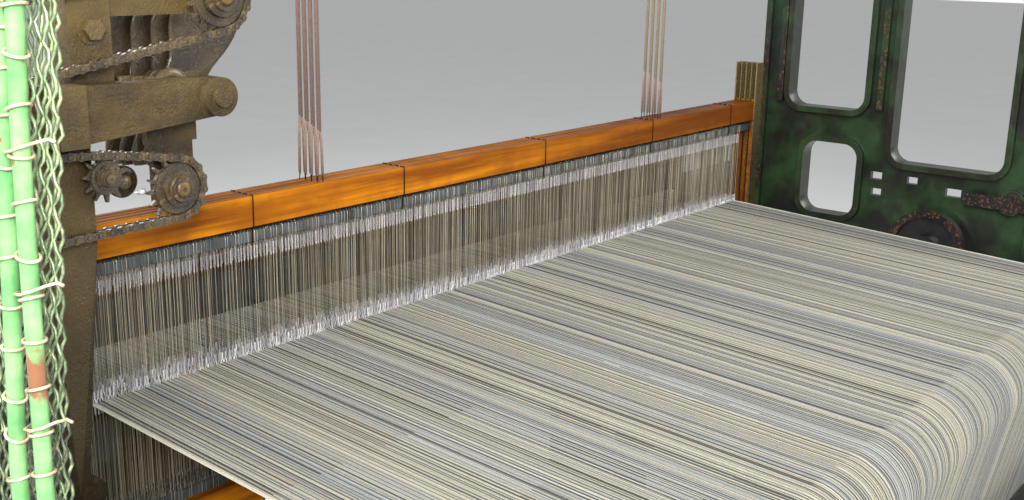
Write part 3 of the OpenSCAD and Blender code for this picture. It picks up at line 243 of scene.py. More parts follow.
# Heights where the painted shade on iron starts and where it is full
IRON_SHADE_LINE = (1.175, 1.06)
# Heights where the painted shade on dipped wire starts and where it is full
WIRE_SHADE_LINE = (1.36, 1.2)
# Places along the width where the painted shade on wood starts and where it is full
FAR_SHADE_SIDE = (0.35, -0.6)
RUB_EDGE = (0.393, 0.398)

# The rubbed band: its height, the distances where it starts and is full, and its ragged edge
RUB_HEIGHT = 1.239
RUB_HALF = (0.015, 0.008)
RUB_RAGGED = 0.006

# Pale and dark yarns of the warp, and the selvedge's colour with its number of yarns
PALE_YARNS = ("#c0baa3", "#b4af9c", "#cbc5ae", "#aca894")
BLUISH_YARNS = ("#a4a8a4", "#9a9f9f", "#b1b2a8", "#b6b4a4")
DARK_YARNS = ("#2d2c28", "#38362f", "#272c31", "#423e34")
SELVEDGE = ("#e6dec8", 4)


# Colours and shader nodes


def linear(code: str) -> Tuple[float, float, float, float]:
    """Turns an sRGB hex code into linear colour.

    Args:
        code: a colour such as "#a0b1c2".

    Returns:
        Red, green, blue and alpha, linear, for a shader.
    """
    srgb = [int(code[i:i + 2], 16) / 255 for i in (1, 3, 5)]
    parts = [c / 12.92 if c <= 0.04045 else ((c + 0.055) / 1.055) ** 2.4 for c in srgb]
    return (*parts, 1.0)


def add(
    tree: bpy.types.NodeTree, kind: str, inputs: Optional[dict] = None, **properties: object
) -> bpy.types.Node:
    """Adds one shader node, sets it and joins it to others.

    Args:
        tree: the node tree.
        kind: the node's type name.
        inputs: by input name or number, a value or another node's output.
        properties: the node's own settings.

    Returns:
        The new node.
    """
    made = tree.nodes.new(kind)
    for name, value in properties.items():
        setattr(made, name, value)
    for name, value in (inputs or {}).items():
        if isinstance(value, bpy.types.NodeSocket):
            tree.links.new(value, made.inputs[name])
        else:
            made.inputs[name].default_value = value
    return made


@dataclass
class Paint:
    """Paints one finish on its shader; pattern sizes are in millimetres, places in metres."""

    finish: Finish
    tree: bpy.types.NodeTree
    shader: bpy.types.Node
    where: bpy.types.NodeSocket

    def cloud(
        self, size: float, detail: float = 3.0, stretch: Sequence[float] = (1, 1, 1)
    ) -> bpy.types.NodeSocket:
        """A cloudy pattern whose spots have a real size.

        Args:
            size: the spots' size in millimetres.
            detail: octaves of finer spots.
            stretch: factors on the three coordinates.

        Returns:
            The pattern's value.
        """
        placed = add(self.tree, "ShaderNodeMapping", {"Vector": self.where, "Scale": stretch})
        settings = {
            "Vector": placed.outputs[0],
            "Scale": 1 / (size * MM),
            "Detail": detail,
            "Roughness": 0.6,
        }
        return add(self.tree, "ShaderNodeTexNoise", settings).outputs["Fac"]

    def spots(
        self,
        size: float,
        low: float,
        high: float,
        most: float = 1.0,
        detail: float = 3.0,
        stretch: Sequence[float] = (1, 1, 1),
    ) -> bpy.types.NodeSocket:
        """A mask of soft spots: a cloudy pattern cut off between two levels.

        Args:
            size: the spots' size in millimetres.
            low: the pattern's level where the mask starts.
            high: the level where it is full.
            most: the full mask's value.
            detail: octaves of finer spots.
            stretch: factors on the three coordinates.

        Returns:
            The mask.
        """
        cloud = self.cloud(size, detail, stretch)
        settings = {"Value": cloud, "From Min": low, "From Max": high, "To Max": most}
        return add(self.tree, "ShaderNodeMapRange", settings).outputs["Result"]

    def along(self, way: int, ends: Tuple[float, float], most: float) -> bpy.types.NodeSocket:
        """A mask that grows from one place to another.

        Args:
            way: 0 for X, 1 for Y and 2 for Z.
            ends: the places in metres where it starts and where it is full.
            most: the full mask's value.

        Returns:
            The mask.
        """
        place = add(self.tree, "ShaderNodeSeparateXYZ", {0: self.where}).outputs[way]
        settings = {"Value": place, "From Min": ends[0], "From Max": ends[1], "To Max": most}
        return add(self.tree, "ShaderNodeMapRange", settings).outputs["Result"]

    def edges(self, low: float, high: float) -> bpy.types.NodeSocket:
        """A mask of the places where the surface bulges outwards.

        Args:
            low: the curvature where it starts.
            high: the curvature where it is full.

        Returns:
            The mask.
        """
        curve = add(self.tree, "ShaderNodeNewGeometry").outputs["Pointiness"]
        settings = {"Value": curve, "From Min": low, "From Max": high}
        return add(self.tree, "ShaderNodeMapRange", settings).outputs["Result"]

    def coats(
        self,
        base: Union[str, bpy.types.NodeSocket],
        rows: Sequence[Tuple[bpy.types.NodeSocket, str]],
    ) -> bpy.types.NodeSocket:
        """Lays colours over a base one after another, each where its mask shows.

        Args:
            base: an sRGB hex code or a colour output.
            rows: pairs of a mask and an sRGB hex code.

        Returns:
            The colour on top.
        """
        colour = linear(base) if isinstance(base, str) else base
        for mask, code in rows:
            settings = {0: mask, 6: colour, 7: linear(code)}
            colour = add(self.tree, "ShaderNodeMix", settings, data_type="RGBA").outputs[2]
        return colour

    def roughen(
        self, mask: bpy.types.NodeSocket, clear: float, covered: float, full: float = 1.0
    ) -> None:
        """Lets the roughness follow a mask.

        Args:
            mask: the mask.
            clear: the roughness where the mask is zero.
            covered: the roughness where it is full.
            full: the mask's full value.
        """
        settings = {"Value": mask, "From Max": full, "To Min": clear, "To Max": covered}
        rough = add(self.tree, "ShaderNodeMapRange", settings)
        self.tree.links.new(rough.outputs["Result"], self.shader.inputs["Roughness"])

    def cover(
        self,
        colour: bpy.types.NodeSocket,
        relief: Optional[bpy.types.NodeSocket] = None,
        strength: float = 0.0,
        depth: float = 0.0,
    ) -> None:
        """Joins the colour to the shader, and a relief if there is one.

        Args:
            colour: the colour.
            relief: its heights.
            strength: the relief's strength, from 0 to 1.
            depth: its depth in millimetres.
        """
        self.tree.links.new(colour, self.shader.inputs["Base Color"])
        if relief is not None:
            settings = {"Height": relief, "Strength": strength, "Distance": depth * MM}
            bumps = add(self.tree, "ShaderNodeBump", settings)
            self.tree.links.new(bumps.outputs[0], self.shader.inputs["Normal"])

    def grease(self) -> None:
        """Iron soaked in oil: dark blotches, lumps of grease and lint, wet shine, rubbed edges, and
        painted shade low down.
        """
        finish, size, rough = self.finish, self.finish.size, self.finish.roughness
        colour = self.coats(finish.dark, [
            (self.spots(size * 4, 0.36, 0.62), finish.light),
            (self.spots(size * 0.25, 0.5, 0.72, 0.55, 5), LINT),
            (self.edges(0.53, 0.62), RUBBED_IRON),
            (self.along(2, DUST_LINE, finish.dust), DRY_DUST),
            # Painted shade: the iron goes darker towards the bottom
            (self.along(2, IRON_SHADE_LINE, 0.62), LOW_IRON_SHADE),
        ])
        self.roughen(self.spots(size * 1.5, 0.38, 0.6), rough * 0.6, rough + 0.3)
        lumps = {0: self.cloud(size * 0.9, 4), 1: self.cloud(size * 0.22, 5)}
        relief = add(self.tree, "ShaderNodeMath", lumps, operation="ADD")
        self.cover(colour, relief.outputs[0], finish.bump, 2.2)

    def enamel(self) -> None:
        """Old enamel: uneven shade, patches of black oil, chips and rust on edges."""
        finish, size, rough = self.finish, self.finish.size, self.finish.roughness
        shade = self.spots(size, 0.3, 0.75)
        chips = {0: self.spots(size * 0.12, 0.55, 0.6, detail=4), 1: self.edges(0.52, 0.58)}
        bare = add(self.tree, "ShaderNodeMath", chips, operation="MULTIPLY")
        colour = self.coats(finish.dark, [
            (shade, finish.light),
            (self.spots(size * 0.08, 0.55, 0.75, 0.5, 5), finish.dark),
            (self.spots(size * 2.2, 0.47, 0.58, 0.9, 5), THICK_OIL),
            (bare.outputs[0], BARE_RUST),
        ])
        self.roughen(shade, rough, rough + 0.2)
        self.cover(colour, self.cloud(size * 0.1, 4), 0.3, 0.5)

    def metal(self) -> None:
        """Worn metal: two shades and a roughness that follows them."""
        finish = self.finish
        shade = self.spots(finish.size, 0.3, 0.7)
        self.roughen(shade, finish.roughness + 0.15, finish.roughness)
        self.cover(self.coats(finish.dark, [(shade, finish.light)]))

    def grain(self) -> None:
        """Wood with its grain along X, darker streaks, stains of old oil and dusty upper faces."""
        finish, size, rough = self.finish, self.finish.size, self.finish.roughness
        thin = (0.02, 1, 1)
        stain = self.spots(size * 5, 0.46, 0.7, 0.7, 4)
        normal = add(self.tree, "ShaderNodeNewGeometry").outputs["Normal"]
        facing = add(self.tree, "ShaderNodeSeparateXYZ", {0: normal}).outputs[2]
        settings = {"Value": facing, "From Min": 0.75, "From Max": 0.95, "To Max": 0.5}
        dust = add(self.tree, "ShaderNodeMapRange", settings).outputs["Result"]
        colour = self.coats(finish.light, [
            (self.spots(size, 0.35, 0.65, 1.0, 6, (0.05, 1, 1)), finish.dark),
            (self.spots(size * 0.2, 0.48, 0.72, 0.5, 4, thin), finish.dark),
            (stain, finish.dark),
            # Painted shade: darker towards the far side
            (self.along(0, FAR_SHADE_SIDE, finish.far), FAR_WOOD_SHADE),
            (dust, WOOD_DUST),
        ])
        self.roughen(stain, rough, rough + 0.2, 0.75)
        self.cover(colour, self.cloud(size * 0.2, 4, thin), 0.35, 0.4)

    def fibre(self) -> None:
        """Yarn or cord: the colour that its corners carry, broken by fine fibres."""
        own = add(self.tree, "ShaderNodeAttribute", attribute_name="shade").outputs["Color"]
        fuzz = self.spots(self.finish.size, 0.3, 0.75, 0.45, 4)
        colour = self.coats(own, [(fuzz, self.finish.dark)])
        self.cover(colour, self.cloud(self.finish.size * 0.6), 0.5, 0.3)

    def weave(self) -> None:
        """Cloth: fine ribs both ways over the colours that its warp gives it."""
        waves = {"Vector": self.where, "Scale": 0.1 / (self.finish.size * MM)}
        warp, weft = (
            add(self.tree, "ShaderNodeTexWave", waves, bands_direction=way).outputs["Fac"]
            for way in ("X", "Y")
        )
        ribs = add(self.tree, "ShaderNodeMath", {0: warp, 1: weft}, operation="MULTIPLY").outputs[0]
        settings = {"Value": ribs, "To Min": 0.45, "To Max": 0.0}
        hollows = add(self.tree, "ShaderNodeMapRange", settings).outputs["Result"]
        own = add(self.tree, "ShaderNodeAttribute", attribute_name="shade").outputs["Color"]
        self.cover(self.coats(own, [(hollows, self.finish.dark)]), ribs, 0.6, 0.4)

    def wire(self) -> None:
        """Thin wires side by side, each a little brighter or darker than the next."""
        finish = self.finish
        each = self.spots(finish.size, 0.4, 0.62, 1.0, 2, (1, 1, 0.01))
        soiled = self.spots(finish.size * 6, 0.5, 0.75, 0.35)
        self.roughen(each, finish.roughness + 0.2, finish.roughness)
        self.cover(self.coats(finish.dark, [(each, finish.light), (soiled, finish.dark)]))

    def rubbed_band(self) -> bpy.types.NodeSocket:
        """A mask of the ragged band where a rail has rubbed the paint through.

        Returns:
            The mask.
        """
        height = add(self.tree, "ShaderNodeSeparateXYZ", {0: self.where}).outputs[2]
        off = add(self.tree, "ShaderNodeMath", {0: height, 1: RUB_HEIGHT}, operation="SUBTRACT")
        away = add(self.tree, "ShaderNodeMath", {0: off.outputs[0]}, operation="ABSOLUTE")
        cloud = self.cloud(9, 4)
        settings = {"Value": cloud, "From Min": 0.3, "From Max": 0.7}
        settings.update({"To Min": -RUB_RAGGED, "To Max": RUB_RAGGED})
        ragged = add(self.tree, "ShaderNodeMapRange", settings).outputs["Result"]
        reach = add(self.tree, "ShaderNodeMath", {0: away.outputs[0], 1: ragged}, operation="ADD")
        settings = {"Value": reach.outputs[0], "From Min": RUB_HALF[0], "From Max": RUB_HALF[1]}
        band = add(self.tree, "ShaderNodeMapRange", settings).outputs["Result"]
        outer = self.along(1, RUB_EDGE, self.finish.rub)
        both = add(self.tree, "ShaderNodeMath", {0: band, 1: outer}, operation="MULTIPLY")
        return both.outputs[0]

    def dipped(self) -> None:
        """Thick gloss paint on wire: uneven shade, painted shade in patches low down, a few patches
        of red rust.
        """
        finish, size, rough = self.finish, self.finish.size, self.finish.roughness
        shade = self.spots(size, 0.32, 0.68)
        # Painted shade low down, broken into patches
        low_shade = self.spots(size * 0.7, 0.36, 0.56, detail=4)
        low_shade_parts = {0: low_shade, 1: self.along(2, WIRE_SHADE_LINE, finish.low_shade)}
        low_shading = add(self.tree, "ShaderNodeMath", low_shade_parts, operation="MULTIPLY").outputs[0]
        rows = [
            (shade, finish.light),
            (low_shading, LOW_WIRE_SHADE),
            (self.spots(26, 0.655, 0.69, 0.9), RED_RUST),
        ]
        if finish.rub:
            rows.append((self.rubbed_band(), RUBBED_RUST))
        self.roughen(shade, rough + 0.15, rough)
        self.cover(self.coats(finish.dark, rows), self.cloud(size * 0.4), 0.4, 0.4)

    def apply(self) -> None:
        """Paints the finish's pattern."""
        painters = {
            Pattern.GREASE: self.grease,
            Pattern.ENAMEL: self.enamel,
            Pattern.METAL: self.metal,
            Pattern.GRAIN: self.grain,
            Pattern.FIBRE: self.fibre,
            Pattern.WEAVE: self.weave,
            Pattern.WIRE: self.wire,
            Pattern.DIPPED: self.dipped,
        }
        painters[self.finish.pattern]()


def material(finish: Finish) -> bpy.types.Material:
    """Makes the material of a finish, once.

    Args:
        finish: what the surface looks like.

    Returns:
        Its material.
    """
    title = f"{finish.name}_finish"
    found = bpy.data.materials.get(title)
    if found:
        return found
    made = bpy.data.materials.new(title)
    made.use_nodes = True
    tree = made.node_tree
    shader = tree.nodes["Principled BSDF"]
    shader.inputs["Metallic"].default_value = finish.metallic
    shader.inputs["Roughness"].default_value = finish.roughness
    shader.inputs["Coat Weight"].default_value = finish.coat
    shader.inputs["Coat Roughness"].default_value = COAT_ROUGHNESS
    shader.inputs["Sheen Weight"].default_value = finish.sheen
    if finish.metallic < 0.5:
        shader.inputs["Specular IOR Level"].default_value = finish.specular
    where = add(tree, "ShaderNodeTexCoord").outputs["Object"]
    Paint(finish, tree, shader, where).apply()
    return made


# Meshes from arrays


@dataclass
class Surface:
    """Corners and faces of a mesh that is being put together."""

    points: np.ndarray
    faces: np.ndarray

    @staticmethod
    def joined(parts: Sequence["Surface"]) -> "Surface":
        """Joins several surfaces whose faces have the same number of corners.

        Args:
            parts: the surfaces.

        Returns:
            One surface.
        """
        starts = np.cumsum([0] + [len(part.points) for part in parts[:-1]])
        faces = [part.faces + start for part, start in zip(parts, starts)]
        return Surface(np.concatenate([part.points for part in parts]), np.concatenate(faces))

    @staticmethod
    def sleeve(points: np.ndarray) -> "Surface":
        """Joins rings of points into a tube whose sides run from ring to ring.

        Args:
            points: the corners, as (rings, corners of a ring, 3).

        Returns:
            The tube, with open ends.
        """
        rings, sides = points.shape[:2]
        here = np.arange(rings * sides).reshape(rings, sides)
        beside = np.roll(here, -1, 1)
        faces = np.stack([here[:-1], beside[:-1], beside[1:], here[1:]], -1)
        return Surface(points.reshape(-1, 3), faces.reshape(-1, 4))


def round_turn(sides: int) -> np.ndarray:
    """Even angles of a whole turn, from zero."""
    return 2 * math.pi * np.arange(sides) / sides


def tubes(
    paths: np.ndarray,
    radius: float,
    sides: int = 6,
    reference: Sequence[float] = (0, 0, 1),
    closed: bool = False,
    capped: bool = False,
) -> Surface:
    """Sweeps round rods along many paths at once.

    At each point the section is a circle across the path: its centre plus the radius times
    (a cos t + b sin t), with a and b square to the path and to each other.

    Args:
        paths: the centre lines, as (rods, points, 3), or one line.
        radius: the rods' radius.
        sides: corners of a rod's section.
        reference: a direction that no path follows.
        closed: whether each path returns to its start.
        capped: whether the ends are closed with a point.

    Returns:
        The surface of all the rods.
    """
    lines = np.asarray(paths, float)
    if lines.ndim == 2:
        lines = lines[None]
    if closed:
        along = np.roll(lines, -1, 1) - np.roll(lines, 1, 1)
    else:
        along = np.gradient(lines, axis=1)
    sizes = np.full(lines.shape[1], float(radius))
    if capped and not closed:
        lines = np.concatenate([lines[:, :1], lines, lines[:, -1:]], 1)
        along = np.concatenate([along[:, :1], along, along[:, -1:]], 1)
        sizes = np.concatenate([[0], sizes, [0]])
    along = along / np.linalg.norm(along, axis=2, keepdims=True)
    across = np.cross(along, np.broadcast_to(np.asarray(reference, float), along.shape))
    across /= np.linalg.norm(across, axis=2, keepdims=True)
    third = np.cross(along, across)
    turn = round_turn(sides)[:, None]
    ring = across[:, :, None] * np.cos(turn) + third[:, :, None] * np.sin(turn)
    points = lines[:, :, None] + ring * sizes[None, :, None, None]
    rods, steps = points.shape[:2]
    here = np.arange(rods * steps * sides).reshape(rods, steps, sides)
    ahead = np.roll(here, -1, 1) if closed else here[:, 1:]
    start = here if closed else here[:, :-1]
    faces = np.stack([start, np.roll(start, -1, 2), np.roll(ahead, -1, 2), ahead], -1)
    return Surface(points.reshape(-1, 3), faces.reshape(-1, 4))


def boxes(low: Sequence[Sequence[float]], high: Sequence[Sequence[float]]) -> Surface:
    """Makes many boxes at once: each corner is low plus 0 or 1 times (high - low) on each axis.

    Args:
        low: the boxes' lowest corners, as (boxes, 3), or one corner.
        high: their highest corners.

    Returns:
        The surface of all the boxes.
    """
    low, high = np.atleast_2d(low).astype(float), np.atleast_2d(high).astype(float)
    pick = np.array([[x, y, z] for z in (0, 1) for y in (0, 1) for x in (0, 1)])
    points = low[:, None] + (high - low)[:, None] * pick
    walls = [[0, 2, 3, 1], [4, 5, 7, 6], [0, 1, 5, 4], [2, 6, 7, 3], [0, 4, 6, 2], [1, 3, 7, 5]]
    faces = np.array(walls)[None] + 8 * np.arange(len(low))[:, None, None]
    return Surface(points.reshape(-1, 3), faces.reshape(-1, 4))


def turned(
    profile: Sequence[Sequence[float]], start: Sequence[float], axis: str, sides: int = 32
) -> Surface:
    """Turns a profile round an axis, as on a lathe.

    Args:
        profile: pairs of (distance along the axis, radius).
        start: the point on the axis that distances are counted from.
        axis: "x", "y" or "z".
        sides: facets round the axis.

    Returns:
        The turned surface.
    """
    way = "xyz".index(axis)
    turn, steps = round_turn(sides), np.array(profile, float)
    points = np.zeros((len(steps), sides, 3))
    points[..., way] = steps[:, :1]
    points[..., (way + 1) % 3] = steps[:, 1:] * np.cos(turn)
    points[..., (way + 2) % 3] = steps[:, 1:] * np.sin(turn)
    return Surface.sleeve(points + np.asarray(start, float))


def leaf(
    stations: np.ndarray,
    y: float,
    half: float,
    sides: int = 24,
    levels: int = 72,
    smooth: int = 2,
    powers: Tuple[float, float] = (0.75, 0.9),
) -> Surface:
    """Makes an upright casting whose width changes with height.

    Across a level, with t the turn round it, the width goes as a power of cos t and the
    thickness as a power of sin t, so a level is a full oval. The edges between the stations are
    straight, then averaged with their neighbours.

    Args:
        stations: rows of (height, left edge, right edge) in metres, upwards.
        y: the place of its middle along the loom's depth.
        half: half of its thickness.
        sides: corners of a level.
        levels: how many levels there are.
        smooth: how many neighbours on each side an edge is averaged with.
        powers: the powers of cos t and sin t.

    Returns:
        The closed surface.
    """
    z = np.linspace(stations[0, 0], stations[-1, 0], levels)
    edges = np.stack([np.interp(z, stations[:, 0], stations[:, k]) for k in (1, 2)], 1)
    padded = np.pad(edges, ((smooth, smooth), (0, 0)), mode="edge")
    taken = 2 * smooth + 1
    edges = sum(padded[k: k + levels] for k in range(taken)) / taken
    middle, wide = edges.mean(1), (edges[:, 0] - edges[:, 1]) / 2
    middle = np.concatenate([middle[:1], middle, middle[-1:]])
    wide = np.concatenate([[0], wide, [0]])
    z = np.concatenate([z[:1], z, z[-1:]])
    turn = round_turn(sides)
    c, s = np.cos(turn), np.sin(turn)
    u = np.sign(c) * np.abs(c) ** powers[0]
    v = np.sign(s) * np.abs(s) ** powers[1]
    thick = np.where(wide > 0, half, 0)
    points = np.zeros((len(z), sides, 3))
    points[..., 0] = middle[:, None] + wide[:, None] * u
    points[..., 1] = y + thick[:, None] * v
    points[..., 2] = z[:, None]
    return Surface.sleeve(points)


def piece(
    name: str,
    surface: Surface,
    finish: Finish,
    body: str,
    smooth: bool = True,
    shades: Optional[np.ndarray] = None,
    bend: Optional[Tuple[str, np.ndarray, np.ndarray]] = None,
) -> bpy.types.Object:
    """Makes an object from a surface and lets it move with a body, or, given a bend, leaves it
    fixed in the world.

    Args:
        name: the piece's name.
        surface: its corners and faces.
        finish: its finish.
        body: the body that it moves with, when no bend is given.
        smooth: whether its faces are shaded smooth.
        shades: linear colours of the corners, if they have their own.
        bend: a second body and two points; when given, the piece keeps its place in the world and
            moves with no body.

    Returns:
        The object.
    """
    mesh = bpy.data.meshes.new(name)
    mesh.from_pydata(surface.points, [], surface.faces)
    mesh.update()
    mesh.polygons.foreach_set("use_smooth", np.full(len(mesh.polygons), smooth))
    if shades is None and finish.pattern in (Pattern.FIBRE, Pattern.WEAVE):
        shades = np.tile(linear(finish.light), (len(surface.points), 1))
    if shades is not None:
        layer = mesh.attributes.new("shade", "FLOAT_COLOR", "POINT")
        layer.data.foreach_set("color", np.ascontiguousarray(shades, np.float32).ravel())
    mesh.materials.append(material(finish))
    made = bpy.data.objects.new(name, mesh)
    bpy.context.scene.collection.objects.link(made)
    if bend is None:
        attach(made, body)
    else:
        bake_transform(made)
    LOG.info("%s: %d faces on %s", name, len(mesh.polygons), body)
    return made


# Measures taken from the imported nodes


@dataclass(frozen=True)
class Span:
    """Lowest and highest corner of a node."""

    low: np.ndarray
    high: np.ndarray

    @staticmethod
    def of(node: str) -> "Span":
        """Measures a node, given by its name."""
        low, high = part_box(node)
        return Span(np.array(low), np.array(high))

    @property
    def middle(self) -> np.ndarray:
        """The span's middle."""
        return (self.low + self.high) / 2


@dataclass(frozen=True)
class Loom:
    """The main places of the loom: the eyes' height, the rear shaft's back, half the warp."""

    eye: float
    back: float
    warp_half: float
    yarns: int = 1184

    @staticmethod
    def measured() -> "Loom":
        """Measures the loom from its nodes.

        Returns:
            The main places.
        """
        healds, shaft, roll = (Span.of(n) for n in ("healds_1", "heald_frame_1", "warp_roll"))
        return Loom(float(healds.middle[2]), float(shaft.high[1]), float(roll.high[0]))

    def at(self, x: float, y: float, z: float) -> np.ndarray:
        """The point at x along the width, y behind the rear shaft and z above the eyes, in mm."""
        return np.array([x * MM, self.back + y * MM, self.eye + z * MM])

    @property
    def yarn_x(self) -> np.ndarray:
        """Places of the warp's yarns along the width."""
        pitch = 2 * self.warp_half / self.yarns
        return -self.warp_half + pitch * (np.arange(self.yarns) + 0.5)


@dataclass
class Assembly:
    """A part of the loom that builds its own pieces."""

    loom: Loom

    def build(self) -> List[bpy.types.Object]:
        """Builds the pieces."""
        raise NotImplementedError


# Warp and cloth


def stripe_shades(count: int, rng: np.random.Generator) -> np.ndarray:
    """Colours of the warp's yarns: runs of pale yarns parted by one or two dark ones.

    The share of bluish yarns goes as the sum of two sines across the width.

    Args:
        count: how many yarns there are.
        rng: the source of chance.

    Returns:
        A linear colour for each yarn.
    """
    pale, bluish, dark = (
        np.array([linear(code) for code in codes])
        for codes in (PALE_YARNS, BLUISH_YARNS, DARK_YARNS)
    )
    turn = round_turn(count)
    tint = 0.5 + 0.3 * np.sin(5 * turn + 1) + 0.3 * np.sin(13 * turn)
    cool = rng.random(count)[:, None] < tint[:, None]
    ground = np.where(cool, bluish[rng.integers(0, 4, count)], pale[rng.integers(0, 4, count)])
    gaps = rng.choice([2, 2, 3, 4], count)
    starts = np.cumsum(gaps + 1)
    lines = np.zeros(count, bool)
    lines[starts[starts < count]] = True
    doubled = np.roll(lines, 1) & (rng.random(count) < 0.45)
    shades = np.where((lines | doubled)[:, None], dark[rng.integers(0, 4, count)], ground)
    edge_colour, edge_yarns = linear(SELVEDGE[0]), SELVEDGE[1]
    shades[:edge_yarns] = edge_colour
    shades[-edge_yarns:] = edge_colour
    shades[:, :3] *= rng.uniform(0.85, 1.12, (count, 1))
    return np.clip(shades, 0, 1)


@dataclass
class Warp(Assembly):
    """The warp, yarn by yarn, from the cloth over the back rest to the beam."""

    rng: np.random.Generator
    radius: float = 0.00055
    stray: float = 0.00012
    sag: float = 0.0002
    gap: float = 0.0003
    half_sheet: float = 0.0008
    lead: float = 0.001
    steps: int = 12

    def route(self) -> np.ndarray:
        """The yarns' path in the plane of Y and Z: straight, round the back rest, straight.

        The arc starts where the fall from the eyes touches the back rest, and ends where the
        common tangent of back rest and wound warp leaves it.

        Returns:
            Points of the path.
        """
        sheet, rest, roll = (Span.of(name) for name in ("warp_sheet", "back_rest", "warp_roll"))
        rest_r = (rest.high[2] - rest.low[2]) / 2 + self.gap + self.half_sheet
        roll_r = (roll.high[2] - roll.low[2]) / 2 + self.gap + self.half_sheet
        centre, drum = rest.middle[1:], roll.middle[1:]
        eye, back = self.loom.eye, self.loom.back
        fall = math.atan((eye - centre[1] - rest_r) / (centre[0] - back))
        span = centre - drum
        touch = math.asin((roll_r - rest_r) / np.linalg.norm(span))
        last = math.pi / 2 + math.atan2(span[0], span[1]) - touch
        turn = np.linspace(fall, last, self.steps)
        bend = centre + rest_r * np.stack([np.sin(turn), np.cos(turn)], 1)
        end = drum + roll_r * np.array([math.sin(last), math.cos(last)])
        start = np.array([[sheet.low[1] + self.lead, eye], [back, eye]])
        return np.concatenate([start, bend, end[None]])

    def build(self) -> List[bpy.types.Object]:
        """Builds the yarns as fine three-sided rods along the path.

        Returns:
            The warp.
        """
        route, count, sides = self.route(), self.loom.yarns, 3
        paths = np.zeros((count, len(route), 3))
        paths[..., 0] = self.loom.yarn_x[:, None] + self.rng.normal(0, self.stray, (count, 1))
        paths[..., 1:] = route
        paths[:, 1:3, 2] += self.rng.normal(0, self.sag, (count, 1))
        surface = tubes(paths, self.radius, sides, (1, 0, 0))
        shades = np.repeat(stripe_shades(count, self.rng), len(route) * sides, 0)
        warp = piece("warp_yarns", surface, YARN, ROOT_BODY, shades=shades)
        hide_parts("warp_sheet")
        return [warp]


@dataclass
class WoundWarp(Assembly):
    """The warp wound on its beam, in rings of the stripes' colours."""

    rng: np.random.Generator
    rings: int = 593
    dip: float = 0.0006
    sides: int = 40
    barrel_share: float = 0.15
    barrel_gap: float = 0.001

    def build(self) -> List[bpy.types.Object]:
        """Turns a ringed barrel whose grooves part the yarns.

        Returns:
            The wound warp.
        """
        span, beam = Span.of("warp_roll"), Span.of("warp_beam")
        radius = (span.high[2] - span.low[2]) / 2
        edges = np.repeat(np.linspace(span.low[0], span.high[0], self.rings), 2)
        dips = np.tile([0.0, -self.dip], self.rings)
        barrel = (beam.high[2] - beam.low[2]) * self.barrel_share + self.barrel_gap
        steps = np.stack([edges, radius + dips], 1)
        steps = np.concatenate([[[edges[0], barrel]], steps, [[edges[-1], barrel]]])
        surface = turned(steps, (0, *span.middle[1:]), "x", self.sides)
        shades = np.repeat(stripe_shades(len(steps), self.rng), self.sides, 0)
        roll = piece("wound_warp", surface, YARN, "warp_beam", shades=shades)
        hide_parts("warp_roll")
        return [roll]


@dataclass
class WovenCloth(Assembly):
    """The cloth, from its fell over the breast beam's nose and under the sand roller."""

    rng: np.random.Generator
    nose_r: float = 0.023
    nose_in: float = 0.0238
    thickness: float = 0.0008
    columns: int = 297
    steps: int = 14

    def route(self) -> np.ndarray:
        """The cloth's middle in the plane of Y and Z: straight, an arc, their tangent, an arc.

        Returns:
            Points of the path, from the fell.
        """
        node, roller = Span.of("woven_cloth"), Span.of("sand_roller")
        nose = np.array([node.low[1] + self.nose_in, node.high[2] - self.nose_in])
        drum = roller.middle[1:]
        drum_r = drum[1] - node.low[2] - self.thickness
        gap = drum - nose
        touch = math.acos((drum_r - self.nose_r) / np.linalg.norm(gap))
        turn = math.pi / 2 + touch - math.atan2(-gap[1], gap[0])
        over = np.linspace(0, turn, self.steps)
        under = np.linspace(turn, math.pi, self.steps)
        bends = [
            centre + radius * np.stack([-np.sin(angle), np.cos(angle)], 1)
            for centre, radius, angle in ((nose, self.nose_r, over), (drum, drum_r, under))
        ]
        return np.concatenate([[[node.high[1], nose[1] + self.nose_r]], *bends])

    def build(self) -> List[bpy.types.Object]:
        """Builds one grid: the width across, the path along.

        Returns:
            The cloth.
        """
        route, half = self.route(), self.loom.warp_half
        points = np.zeros((len(route), self.columns, 3))
        points[..., 0] = np.linspace(-half, half, self.columns)
        points[..., 1:] = route[:, None]
        here = np.arange(len(route) * self.columns).reshape(len(route), self.columns)
        faces = np.stack([here[:-1, :-1], here[1:, :-1], here[1:, 1:], here[:-1, 1:]], -1)
        surface = Surface(points.reshape(-1, 3), faces.reshape(-1, 4))
        shades = np.tile(stripe_shades(self.columns, self.rng), (len(route), 1))
        cloth = piece("striped_cloth", surface, CLOTH, ROOT_BODY, shades=shades)
        solid = cloth.modifiers.new("thickness", "SOLIDIFY")
        solid.thickness, solid.offset = self.thickness, 0
        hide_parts("woven_cloth")
        return [cloth]


# Healds and reed


